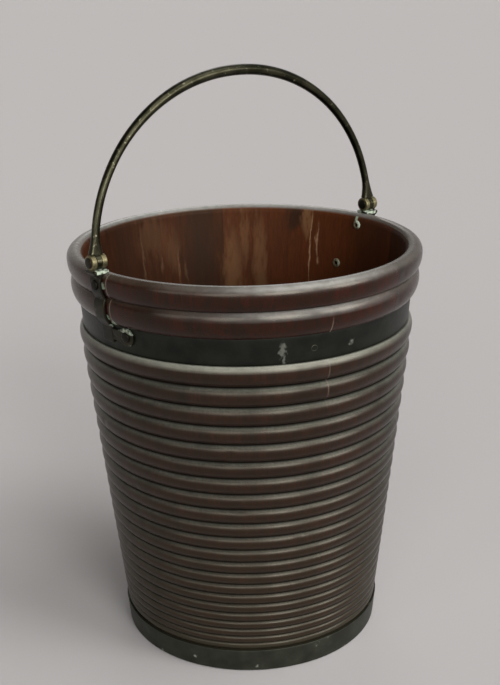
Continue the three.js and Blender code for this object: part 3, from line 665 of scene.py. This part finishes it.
# Pale colour on the rim's back, partly wear and partly painted highlight, and painted highlights on the front
# of rim and shoulder and on the ledge under the hoop: azimuths and strengths
BACK_WEAR_AND_HIGHLIGHT = ([0, 20, 90, 120, 180, 190, 315, 345, 360], [0.35, 0.6, 0.6, 0.3, 0.1, 0, 0, 0.1, 0.35])
FRONT_HIGHLIGHT = ([200, 222, 238, 260, 285, 310], [0, 0.08, 0.26, 0.26, 0.06, 0])
LEDGE_HIGHLIGHT = ([150, 185, 215, 255, 290], [0.12, 0.26, 0.46, 0.46, 0.12])
RIM_HIGHLIGHT_RISE = 7  # from the rim's crest up to where the painted highlight on its front is brightest
RIM_HIGHLIGHT_SPREAD = 3.5
RIM_HIGHLIGHT_GAIN = 1.7  # against the shoulder
USUAL_TONES = (0.05, 0.4)
STAVE_TONES = {  # staves that are plainly lighter or darker than the rest
    "stave_07": 0.35, "stave_08": 0.45, "stave_09": 0.35, "stave_10": 0.12, "stave_11": 0.05, "stave_12": 0.0,
}
draw = np.random.default_rng(7)


def arc(around, azimuth, radius):
    """How far each azimuth lies from another one, in millimetres round a circle."""
    return ((around - azimuth + 180) % 360 - 180) * np.radians(1) * radius


def rim_wear_and_highlight(around, height, outside):
    """How much pale colour the rim, the shoulder and the ledge under the hoop get: on the rim's back partly
    wear and partly a painted highlight, and on the front of rim and shoulder and along the ledge a painted
    highlight; most at the back of the rim, least beside the left hinge."""
    back, front, ledge = (np.interp(around % 360, *by_azimuth) for by_azimuth in (BACK_WEAR_AND_HIGHLIGHT, FRONT_HIGHLIGHT, LEDGE_HIGHLIGHT))
    top = np.interp(height, [BODY_HEIGHT - 4, BODY_HEIGHT], [0, 1])
    # Painted highlights on the front of the rim, brightest a little above its crest, and on the front of the
    # shoulder
    bulge = np.exp(-((height - RIM_CREST - RIM_HIGHLIGHT_RISE) / RIM_HIGHLIGHT_SPREAD) ** 2)
    shoulder = np.interp(height, [SHOULDER_CREST, SHOULDER_CREST + 6], [0, 1]) * (height < QUIRK_HEIGHT)
    # Painted highlight along the ledge under the hoop
    under = np.interp(height, [CHANNEL_BOTTOM - 6, CHANNEL_BOTTOM - 2], [0, 1])
    under = under * (height < CHANNEL_BOTTOM + 0.5) * outside
    return np.max([back * top, RIM_HIGHLIGHT_GAIN * front * bulge, front * shoulder, ledge * under], axis=0)


def seam_strength(around, height):
    """How much filler shows: most at a pale joint, falling to 0 inside the stave."""
    strength = np.zeros(len(around))
    for azimuth, low, high, shows in PALE_JOINTS:
        away = np.abs(arc(around, azimuth, GRAIN_RADIUS))
        along = np.clip(np.minimum(height - low, high - height) / SEAM_FADE, 0, 1)
        strength = np.maximum(strength, shows * along * np.clip(1 - away / SEAM_REACH, 0, 1))
    return strength


def fitting_strength(around, height):
    """1 beside a brass fitting, falling to 0 outside its reach."""
    strength = np.zeros(len(around))
    for azimuth, z, reach in FITTINGS:
        away = np.hypot(arc(around, azimuth, TOP_RADIUS), height - z)
        strength = np.maximum(strength, np.clip(FITTING_SPREAD - away / reach, 0, 1))
    return strength


def stave_columns(node):
    """Azimuths across a stave, closer at its joints, and how far the wood is eased at each of them."""
    start, end = node_sides(node)
    edges = [np.degrees(((JOINT_GAP - CLEARANCE) / 2 + away) / GRAIN_RADIUS) for away, _ in ARRIS]
    eases = [ease for _, ease in ARRIS]
    inside = np.arange(start + edges[-1] + COLUMN_ANGLE, end - edges[-1] - COLUMN_ANGLE / 2, COLUMN_ANGLE)
    azimuths = [start + e for e in edges] + list(inside) + [end - e for e in reversed(edges)]
    return azimuths, eases + [0] * len(inside) + eases[::-1]


def make_staves():
    rows, finish = stave_rows()
    sides = len(rows)
    normals = into_wood(rows[:, :2])
    upward = -normals[:, 1]
    normals = normals * (finish < 2)[:, None]  # joints are eased on the outside only
    dents = np.column_stack([draw.uniform(*limits, DENTS) for limits in DENT_LIMITS])
    for node in sorted(n for n in frame["nodes"] if n.startswith("stave_")):
        azimuths, eased = stave_columns(node)
        columns = len(azimuths)
        tone, proud = draw.uniform(*USUAL_TONES), draw.uniform(-STAVE_STEP, STAVE_STEP)
        shift = draw.uniform(-1, 1, 3)
        around = np.repeat(azimuths, sides)
        turns = np.radians(around)
        radius = np.tile(rows[:, 0], columns) + np.outer(eased, normals[:, 0]).ravel()
        height = np.tile(rows[:, 1], columns) + np.outer(eased, normals[:, 1]).ravel()
        outside = radius > inner(height) + WALL / 2
        shown = np.tile(np.arange(sides) >= 2, columns) & (height > FOOT_TOP)
        flow = np.column_stack([turns * GRAIN_RADIUS, height, radius]) / RIPPLE_LENGTH
        ripple = np.array([noise.noise(Vector(v)) for v in flow]) * RIPPLE + proud
        for azimuth, z, reach, depth in dents:
            apart = arc(around, azimuth, GRAIN_RADIUS)
            ripple -= depth * np.exp(-(apart ** 2 + (height - z) ** 2) / reach ** 2) * outside
        radius = radius + ripple * shown
        points = np.column_stack([radius * np.cos(turns), radius * np.sin(turns), height])
        skin = sweep(points.reshape(-1, sides, 3))
        piece = make_piece("mahogany_" + node, *skin, "waxed", "handled", "bare")
        finishes = np.append(np.tile(finish, columns - 1), [2, 2])  # row by row, then the two ends
        piece.data.polygons.foreach_set("material_index", finishes)
        kept = {
            "grain": np.column_stack([turns * GRAIN_RADIUS, height, radius]) * MM + shift,
            "place": np.column_stack([(around - LEFT_JOINT) % 360 + LEFT_JOINT - 360, height, radius]),
            "tone": np.full(len(points), STAVE_TONES.get(node, tone)),
            "hollow": np.tile(rows[:, 2], columns),
            "upward": np.tile(upward, columns),
            # Pale wear and painted highlights on the rim, shoulder and ledge
            "wear_and_highlight": rim_wear_and_highlight(around, height, outside),
            "seam": seam_strength(around, height),
            "fitting": fitting_strength(around, height),
        }
        for name, values in kept.items():
            store(piece, name, values)
        settle(piece, "bucket", "mahogany_staves", node)


def make_base_board():
    shoulder = inner(BOARD_LOW) - CLEARANCE
    flat = shoulder - BOARD_BEVEL
    edge_low, edge_high = CROZE_MIDDLE - BOARD_EDGE / 2 + CLEARANCE, CROZE_MIDDLE + BOARD_EDGE / 2 - CLEARANCE
    outline = [(r, BOARD_LOW) for r in np.linspace(BOARD_HEART, flat, 8)]
    outline += [(shoulder, edge_low), (BOARD_RADIUS, edge_low)]
    outline += [(BOARD_RADIUS, edge_high), (shoulder, edge_high)]
    outline += [(r, BOARD_HIGH) for r in np.linspace(flat, BOARD_HEART, 24)]
    turns = np.radians(np.arange(0, 360, 3))
    points, faces = sweep([[(r * math.cos(a), r * math.sin(a), z) for a in turns] for r, z in outline])
    points[:, 2] += [BOARD_WARP * noise.noise(Vector(p / BOARD_WARP_SIZES)) for p in points]
    piece = make_piece("mahogany_base_board", points, faces, "bare")
    store(piece, "grain", points[:, [1, 0, 2]] * MM + 3)
    store(piece, "place", np.tile([200, 150, BOARD_LOW], (len(points), 1)))  # away from the marks on the wall
    store(piece, "tone", np.full(len(points), BOARD_TONE))
    settle(piece, "bucket", "mahogany_board", "base_board")


def strip_section(face, low, high):
    """Section of a hoop's strip with rounded edges, as distance out from its inner side and height."""
    half = HOOP_THICKNESS / 2
    corners = [(low + HOOP_EDGE, 180, 360), (high - HOOP_EDGE, 0, 180)]
    section = []
    for z, start, end in corners:
        section += ellipse((half, z), half, HOOP_EDGE, start, end, 8)
        between = np.linspace(low + HOOP_EDGE, high - HOOP_EDGE, 8)[1:-1]
        out = HOOP_THICKNESS if end == 360 else 0
        section += [(out, b) for b in (between if end == 360 else between[::-1])]
    return [(face(z) - HOOP_THICKNESS + out, z) for out, z in section]


def make_hoop(node, face, low, high):
    """A strip bent into a ring, whose end climbs over its start and is riveted there."""
    section = strip_section(face, low, high)
    start = LAP_AZIMUTH - LAP_ANGLE / 2
    rings = []
    for azimuth in np.arange(start, start + 360 + LAP_ANGLE + 0.01, 1.0):
        into_lap = azimuth - (start + 360)
        climb = HOOP_THICKNESS * np.clip((into_lap + LAP_RAMP) / LAP_RAMP, 0, 1) ** 2
        turn = math.radians(azimuth)
        fade = min(1, (azimuth - start) / HOOP_TRUE, (start + 360 + LAP_ANGLE - azimuth) / HOOP_TRUE)
        spot = Vector((math.cos(turn), math.sin(turn), 0)) * HOOP_DENTS_ROUND
        ring = []
        for r, z in section:
            spot.z = z / HOOP_DENT_LENGTH
            radius = r + climb + HOOP_DENT * fade * noise.noise(spot)
            ring.append((radius * math.cos(turn), radius * math.sin(turn), z))
        rings.append(ring)
    piece = make_piece("brass_" + node, *sweep(rings), node)
    settle(piece, "bucket", "hoop_brass", node)


def turned(outline, steps=48, closed=False):
    """A round piece about +X from an outline of radius and length."""
    turns = np.linspace(0, 2 * math.pi, steps, endpoint=False)
    return sweep([[(x, r * math.cos(a), r * math.sin(a)) for a in turns] for r, x in outline], closed)


def stood(points, azimuth, radius, z, tip=0.0):
    """Points made about +X, moved to a radius and height, tipped down and turned to an azimuth in degrees."""
    place = (Matrix.Rotation(math.radians(azimuth), 4, "Z") @ Matrix.Translation((radius, 0, z))
             @ Matrix.Rotation(tip, 4, "Y"))
    return np.array([place @ Vector(p) for p in points])


def dome(radius, base, rise):
    """Outline of a low domed head from its rim to its middle."""
    lip = rise / 3
    return [(radius, base), *[(radius * math.cos(a), base + lip + (rise - lip) * math.sin(a))
                              for a in np.radians(np.linspace(0, 84, 9))]]


def hammered(points):
    """The points with the shallow unevenness of hammer blows."""
    return points + [[HAMMER_DEPTH * noise.noise(Vector(p) * HAMMER_BLOWS), 0, 0] for p in points]


def make_hoop_fastenings(node, face, low, high):
    for i, side in enumerate((-1, 1)):
        z = (low + high) / 2 + side * LAP_RIVET_SPACING / 2
        shank = [(LAP_RIVET_RADIUS, -2 * HOOP_THICKNESS), (LAP_RIVET_RADIUS, 0)]
        points, faces = turned([*shank, *dome(LAP_RIVET_HEAD, 0, HOOP_THICKNESS)])
        points = stood(hammered(points), LAP_AZIMUTH, face(z) + HOOP_THICKNESS, z, WALL_LEAN)
        name = f"{node}_rivet_{i + 1}"
        settle(make_piece("brass_" + name, points, faces, "rivet"), "bucket", "rivet_brass", name)


def make_flush_pins():
    for i, (azimuth, z, radius) in enumerate(FLUSH_PINS):
        points, faces = turned([(radius * share, out) for share, out in FLUSH_PIN_OUTLINE])
        points = stood(points, azimuth, upper_face(z), z, WALL_LEAN)
        settle(make_piece(f"upper_hoop_pin_{i + 1}", points, faces, "upper_hoop"), "bucket", "hoop_brass")


def slab(outline, start, depth, axes):
    """A flat piece: an outline in two axes, with a thickness along the third."""
    ends = []
    for level in (start, start + depth):
        points = np.zeros((len(outline), 3))
        points[:, axes[0]] = [p[0] for p in outline]
        points[:, axes[1]] = [p[1] for p in outline]
        points[:, 3 - axes[0] - axes[1]] = level
        ends.append(points)
    return sweep(ends)


def knuckle_outline(root, height):
    """A round knuckle about the pivot with a narrower root, in Y and Z."""
    sign = 1 if height > root else -1
    half = KNUCKLE_ROOT / 2
    meeting = math.degrees(math.acos(half / KNUCKLE_RADIUS))
    barrel = ellipse((0, height), KNUCKLE_RADIUS, sign * KNUCKLE_RADIUS, 180 + meeting, -meeting, 40)
    return [(-half, root), *barrel, (half, root)]


def strap_outline():
    """Side view of the casting: down the outside over the mouldings, then back up against the wood."""
    out, wood = STRAP_THICKNESS, STRAP_SEAT
    bottom = TOE_HEIGHT - TOE_RADIUS
    bend = UPPER_HOOP_HIGH - STRAP_THICKNESS
    plate_outer = PIVOT_RADIUS + PLATE_LENGTH / 2
    plate_inner = PIVOT_RADIUS - PLATE_LENGTH / 2
    return [
        (upper_face(bottom) + wood, bottom),
        (upper_face(bottom) + out, bottom),
        (upper_face(bend) + out, bend),
        *bead(SHOULDER_LOWER, out, SHOULDER_END * 0.8, 0, 8),
        *bead(SHOULDER_UPPER, out, 8, 40, 5),
        *bead(RIM_LOWER, out, RIM_END * 0.6, 0, 6),
        *bead(RIM_UPPER, out, 6, 24, 3),
        (plate_outer, PLATE_TOP - PLATE_THICKNESS),
        (plate_outer, PLATE_TOP),
        (plate_inner, PLATE_TOP),
        (plate_inner, PLATE_TOP - PLATE_THICKNESS),
        *bead(RIM_UPPER, wood, 90, 0, 12),
        *bead(RIM_LOWER, wood, -6, RIM_END * 0.8, 6),
        *bead(SHOULDER_UPPER, wood, 46, 8, 5),
        *bead(SHOULDER_LOWER, wood, 0, SHOULDER_END, 8),
    ]


def toe_outline():
    """The sideways foot, in width round the hoop and height: square under the strap, with a round end."""
    half, neck = STRAP_WIDTH / 2, TOE_NECK / 2
    middle = upper_face(TOE_HEIGHT) * math.radians(TOE_AZIMUTH)
    meeting = math.degrees(math.asin(neck / TOE_RADIUS))
    low, high = TOE_HEIGHT - TOE_RADIUS, TOE_HEIGHT + TOE_RADIUS
    return [
        (-half, low), (0, low), (half, low), (half, TOE_HEIGHT - neck),
        *ellipse((middle, TOE_HEIGHT), TOE_RADIUS, TOE_RADIUS, -180 + meeting, 180 - meeting, 32),
        (half, TOE_HEIGHT + neck), (half, high), (0, high), (-half, high),
    ]


def strap_skin():
    """The strap across its width, bowed to lie on the round wall."""
    rings = []
    for y in np.linspace(-STRAP_WIDTH / 2, STRAP_WIDTH / 2, 9):
        bow = y * y / (2 * RIM_OUTER)
        rings.append([(x - bow, y, z) for x, z in strap_outline()])
    return sweep(rings)


def toe_skin():
    """The foot, bent round the hoop."""
    rings = []
    for out in (STRAP_SEAT, STRAP_THICKNESS):
        ring = []
        for width, z in toe_outline():
            radius, turn = upper_face(z) + out, width / upper_face(TOE_HEIGHT)
            ring.append((radius * math.cos(turn), radius * math.sin(turn), z))
        rings.append(ring)
    return sweep(rings)


def pin_bore(x, length):
    """A cutter for a pin's hole, with its middle at x."""
    points, faces = turned([(PIN_RADIUS + CLEARANCE / 2, 0), (PIN_RADIUS + CLEARANCE / 2, length)])
    return points + [x - length / 2, 0, PIVOT_HEIGHT], faces


def joined(*skins):
    """Several skins as one list of points and faces."""
    points, faces, first = [], [], 0
    for skin_points, skin_faces in skins:
        points.append(skin_points)
        faces += [tuple(first + i for i in face) for face in skin_faces]
        first += len(skin_points)
    return np.vstack(points), faces


def worked(piece, bores, unions=(), voxel=0, smoothing=0):
    """Fuses the piece's skins if a voxel size is given, softens its edges, adds and cuts other skins."""
    if voxel:
        piece.modifiers.new("fuse", "REMESH").voxel_size = voxel * MM
        soften = piece.modifiers.new("soften", "SMOOTH")
        soften.factor, soften.iterations = 0.5, smoothing
    tools = []
    for operation, skins in (("UNION", unions), ("DIFFERENCE", bores)):
        for points, faces in skins:
            tool = make_piece("tool", points, faces)
            cut = piece.modifiers.new("cut", "BOOLEAN")
            cut.operation, cut.object, cut.solver = operation, tool, "EXACT"
            tools.append(tool)
    shape = bpy.data.meshes.new_from_object(piece.evaluated_get(bpy.context.evaluated_depsgraph_get()))
    piece.modifiers.clear()
    piece.data = shape
    for tool in tools:
        bpy.data.objects.remove(tool)
    return piece


def bracket_crust(points):
    """How thick verdigris lies on the bracket: on the plate and along the foot's top."""
    x, y, z = points.T
    plate = (np.abs(z - PLATE_TOP + PLATE_THICKNESS / 2) < 1.6) & (x < PIVOT_RADIUS + 5)
    slope = TOE_HEIGHT + TOE_RADIUS - 2.5 - 0.12 * np.clip(y - STRAP_WIDTH / 2, 0, 30)
    foot = (y > STRAP_WIDTH / 2 - 1) & (z > slope) & (z < UPPER_HOOP_HIGH)
    broken = np.array([0.5 + 0.9 * noise.noise(Vector(p) * 0.35) for p in points])
    return np.clip((plate * 1.4 + foot * 0.8) * broken, 0, 1)


def make_brackets():
    knuckles = [PIVOT_RADIUS + side * (KNUCKLE_WIDTH + CLEARANCE) - KNUCKLE_WIDTH / 2 for side in (-1, 1)]
    lug = knuckle_outline(PLATE_TOP - PLATE_THICKNESS / 2, PIVOT_HEIGHT)
    lugs = [slab(lug, x, KNUCKLE_WIDTH, (1, 2)) for x in knuckles]
    casting = make_piece("right_hinge_bracket", *joined(strap_skin(), toe_skin(), *lugs), "bracket")
    bore = pin_bore(PIVOT_RADIUS, CASTING_BORE)
    worked(casting, [bore], voxel=CASTING_VOXEL, smoothing=CASTING_SOFTENING)
    shade(casting.data, CAST_CREASE)
    store(casting, "crust", bracket_crust(np.array([v.co for v in casting.data.vertices]) / MM))
    other = bpy.data.objects.new("left_hinge_bracket", casting.data.copy())
    other.data.transform(Matrix.Rotation(math.pi, 4, "Z"))
    bpy.context.scene.collection.objects.link(other)
    settle(casting, "bucket", "bracket_brass", "right_bracket")
    settle(other, "bucket", "bracket_brass", "left_bracket")


def make_hinge_hardware():
    half = (BARREL_OUTER - BARREL_INNER) / 2 - PIN_HEAD_HEIGHT
    head = dome(PIN_HEAD_RADIUS, half, PIN_HEAD_HEIGHT)
    pin = [(r, -x) for r, x in reversed(head)] + [(PIN_RADIUS, -half), (PIN_RADIUS, half)] + head
    places = {
        "upper": (0, RIM_OUTER + STRAP_THICKNESS, RIVET_HEIGHT, 0.0),
        "lower": (TOE_AZIMUTH, upper_face(TOE_HEIGHT) + STRAP_THICKNESS, TOE_HEIGHT, WALL_LEAN),
    }
    for side, turn in (("right", 0), ("left", 180)):
        points, faces = turned(pin)
        name = f"{side}_hinge_pin"
        piece = make_piece("brass_" + name, stood(points, turn, PIVOT_RADIUS, PIVOT_HEIGHT), faces, "pin")
        settle(piece, "bucket", "rivet_brass", name)
        for level, (azimuth, radius, z, tip) in places.items():
            through = (radius - inner(z)) * math.cos(tip)
            shank = [(r, -through - past) for r, past in RIVET_TAIL]
            shank += [(RIVET_RADIUS, 1 - through), (RIVET_RADIUS, 0)]
            bore, back = RIVET_RADIUS + ROVE_SLACK, -through - ROVE_THICKNESS
            rove = [(bore, back), (ROVE_CROWN, back), (ROVE_RADIUS, -through - ROVE_THICKNESS / 2),
                    (ROVE_RADIUS, -through), (bore, -through)]
            skins = {
                "rivet": turned([*shank, *dome(RIVET_HEAD, 0, RIVET_DOME)]),
                "rove": turned(rove, closed=True),
            }
            for kind, (points, faces) in skins.items():
                name = f"{side}_{level}_{kind}"
                points = stood(hammered(points), turn + azimuth, radius, z, tip)
                finish = "pin" if kind == "rivet" else "rove"
                settle(make_piece("brass_" + name, points, faces, finish), "bucket", "rivet_brass", name)


def bail_stations():
    """From foot to foot: the bar's middle, half-width along the pivot, half-thickness and squareness."""
    foot = KNUCKLE_RADIUS + CLEARANCE
    start = math.asin((foot / BAIL_RISE) ** (1 / BAIL_SQUARENESS))
    stations = []
    for share in np.linspace(0, 1, 80) ** 1.5:
        angle = start + (math.pi / 2 - start) * share
        x = -PIVOT_RADIUS * max(math.cos(angle), 0) ** BAIL_SQUARENESS
        z = BAIL_RISE * math.sin(angle) ** BAIL_SQUARENESS
        flare = max(0, 1 - (z - foot) / BAIL_FLARE)
        half = BAIL_END_RADIUS + (BAIL_MIDDLE_RADIUS - BAIL_END_RADIUS) * math.sin(angle) ** 3
        stations.append((x, z, half + (BAIL_FOOT_WIDTH / 2 - half) * flare ** 2, half, flare ** 0.7))
    return stations + [(-x, *rest) for x, *rest in reversed(stations[:-1])]


def make_bail():
    stations = bail_stations()
    turns = np.linspace(0, 2 * math.pi, 32, endpoint=False) + math.pi / 32
    rings = []
    for i, (x, z, wide, thick, square) in enumerate(stations):
        before, after = stations[max(i - 1, 0)], stations[min(i + 1, len(stations) - 1)]
        way = Vector((after[0] - before[0], after[1] - before[1])).normalized()
        power = 1 - BAIL_FOOT_SQUARENESS * square
        ring = []
        for a in turns:
            across = wide * math.copysign(abs(math.cos(a)) ** power, math.cos(a))
            along_y = thick * math.copysign(abs(math.sin(a)) ** power, math.sin(a))
            ring.append((x + way.y * across, along_y, z - way.x * across))
        rings.append(ring)
    points, faces = sweep(rings)
    bends = [Vector((p[0] / BAIL_UNEVEN_LENGTH, p[2] / BAIL_UNEVEN_LENGTH, 5)) for p in points]
    points[:, 1] += [BAIL_UNEVENNESS * noise.noise(bend) for bend in bends]
    bar = make_piece("brass_bail", points, faces, "bail")
    tongue = knuckle_outline(KNUCKLE_RADIUS + BAIL_FLARE / 4, 0)
    inset = KNUCKLE_WIDTH / 2
    tongues = [slab(tongue, side * PIVOT_RADIUS - inset, KNUCKLE_WIDTH, (1, 2)) for side in (-1, 1)]
    bores = [(skin_points - [0, 0, PIVOT_HEIGHT], skin_faces) for skin_points, skin_faces in
             (pin_bore(side * PIVOT_RADIUS, TONGUE_BORE) for side in (-1, 1))]
    worked(bar, bores, tongues)
    bar.data.transform(Matrix.Translation((0, 0, PIVOT_HEIGHT * MM))
                       @ Matrix.Rotation(-math.radians(BAIL_LEAN), 4, "X"))
    shade(bar.data, BAIL_CREASE)
    settle(bar, "bail", "bail_brass", "bail")


make_staves()
make_base_board()
make_hoop("upper_hoop", upper_face, UPPER_HOOP_LOW, UPPER_HOOP_HIGH)
make_hoop("base_hoop", base_face, BASE_HOOP_LOW, BASE_HOOP_HIGH)
make_hoop_fastenings("upper_hoop", upper_face, UPPER_HOOP_LOW, UPPER_HOOP_HIGH)
make_hoop_fastenings("base_hoop", base_face, BASE_HOOP_LOW, BASE_HOOP_HIGH)
make_flush_pins()
make_brackets()
make_hinge_hardware()
make_bail()


# Stage: a pale matt floor that runs out of sight, a pale wall behind it, and broad soft lamps all round
FORWARD = Vector((math.sin(math.radians(CAMERA_AZIMUTH)), math.cos(math.radians(CAMERA_AZIMUTH)), 0))
RIGHT = Vector((FORWARD.y, -FORWARD.x, 0))
FLOOR_REACH = 60.0  # metres
WINDOWS = [  # name, degrees right of the camera, above the horizon and wide, and light on the floor
    ("far_left_window", -46, 18, 24, 0.03),
    ("left_window", -14, 18, 27, 0.08),
    ("front_window", 24, 19, 27, 0.18),
    ("side_window", 66, 19, 27, 0.16),
    ("front_high_window", 34, 46, 34, 0.12),
    ("side_high_window", 80, 60, 42, 0.27),
    ("back_window", 180, 34, 26, 0.05),
]


def make_floor():
    corners = [(x * FLOOR_REACH, y * FLOOR_REACH, 0) for x, y in ((-1, -1), (1, -1), (1, 1), (-1, 1))]
    mesh = bpy.data.meshes.new("floor")
    mesh.from_pydata(corners, [], [(0, 1, 2, 3)])
    material, tree = new_material("matt_paper")
    shader = add(tree, "BsdfDiffuse", {"Color": colour("#bdb9b8")})
    add(tree, "OutputMaterial", {"Surface": shader})
    mesh.materials.append(material)
    floor = bpy.data.objects.new("floor", mesh)
    bpy.context.scene.collection.objects.link(floor)


def make_light():
    for name, azimuth, elevation, width, level in WINDOWS:
        a, e = math.radians(azimuth), math.radians(elevation)
        towards = (RIGHT * math.sin(a) - FORWARD * math.cos(a)) * math.cos(e) + Vector((0, 0, math.sin(e)))
        lamp = bpy.data.lights.new(name, "SUN")
        lamp.angle = math.radians(width)
        lamp.energy = level * math.pi / math.sin(e)
        lamp_object = bpy.data.objects.new(name, lamp)
        lamp_object.rotation_mode = "QUATERNION"
        lamp_object.rotation_quaternion = towards.to_track_quat("Z", "Y")
        bpy.context.scene.collection.objects.link(lamp_object)
    world = bpy.data.worlds.new("soft_room")
    bpy.context.scene.world = world
    world.use_nodes = True
    tree = world.node_tree
    tree.nodes.clear()
    way = add(tree, "TexCoord", out="Generated")
    up = add(tree, "SeparateXYZ", {0: way}, out=2)
    ceiling = add(tree, "MapRange", {"Value": up}, interpolation_type="SMOOTHSTEP")
    behind = add(tree, "VectorMath", {0: way, 1: FORWARD}, out="Value", operation="DOT_PRODUCT")
    # The wall fades towards the camera's side and upwards, and stays pale near the horizon all round
    nearer, lower, horizon = (
        add(tree, "MapRange", {"Value": along, "From Min": start, "From Max": end},
            interpolation_type="SMOOTHSTEP")
        for along, start, end in ((behind, -0.1, 0.8), (up, 0.9, 0.3), (up, 0.24, 0.08)))
    wall = add(tree, "Math", {0: nearer, 1: lower}, operation="MULTIPLY")
    wall = add(tree, "Math", {0: wall, 1: horizon}, operation="MAXIMUM")
    room = layered(tree, "#2a2a28", [(ceiling, "#4a4a47"), (wall, "#b9b6b3")])
    shader = add(tree, "Background", {"Color": room, "Strength": 1.0})
    add(tree, "OutputWorld", {"Surface": shader})


def make_camera():
    camera = bpy.data.cameras.new("camera")
    camera.lens = CAMERA_LENS
    camera.sensor_width = 36
    camera.shift_x = CAMERA_SHIFT
    camera.clip_end = 200
    viewer = bpy.data.objects.new("camera", camera)
    viewer.location = -FORWARD * CAMERA_DISTANCE * MM + Vector((0, 0, CAMERA_HEIGHT * MM))
    pitch = math.radians(CAMERA_PITCH)
    ahead = FORWARD * math.cos(pitch) - Vector((0, 0, math.sin(pitch)))
    viewer.rotation_mode = "QUATERNION"
    roll = Quaternion((0, 0, 1), math.radians(CAMERA_ROLL))
    viewer.rotation_quaternion = ahead.to_track_quat("-Z", "Y") @ roll
    bpy.context.scene.collection.objects.link(viewer)
    bpy.context.scene.camera = viewer


make_floor()
make_light()
make_camera()
bpy.context.scene.view_settings.view_transform = "Standard"
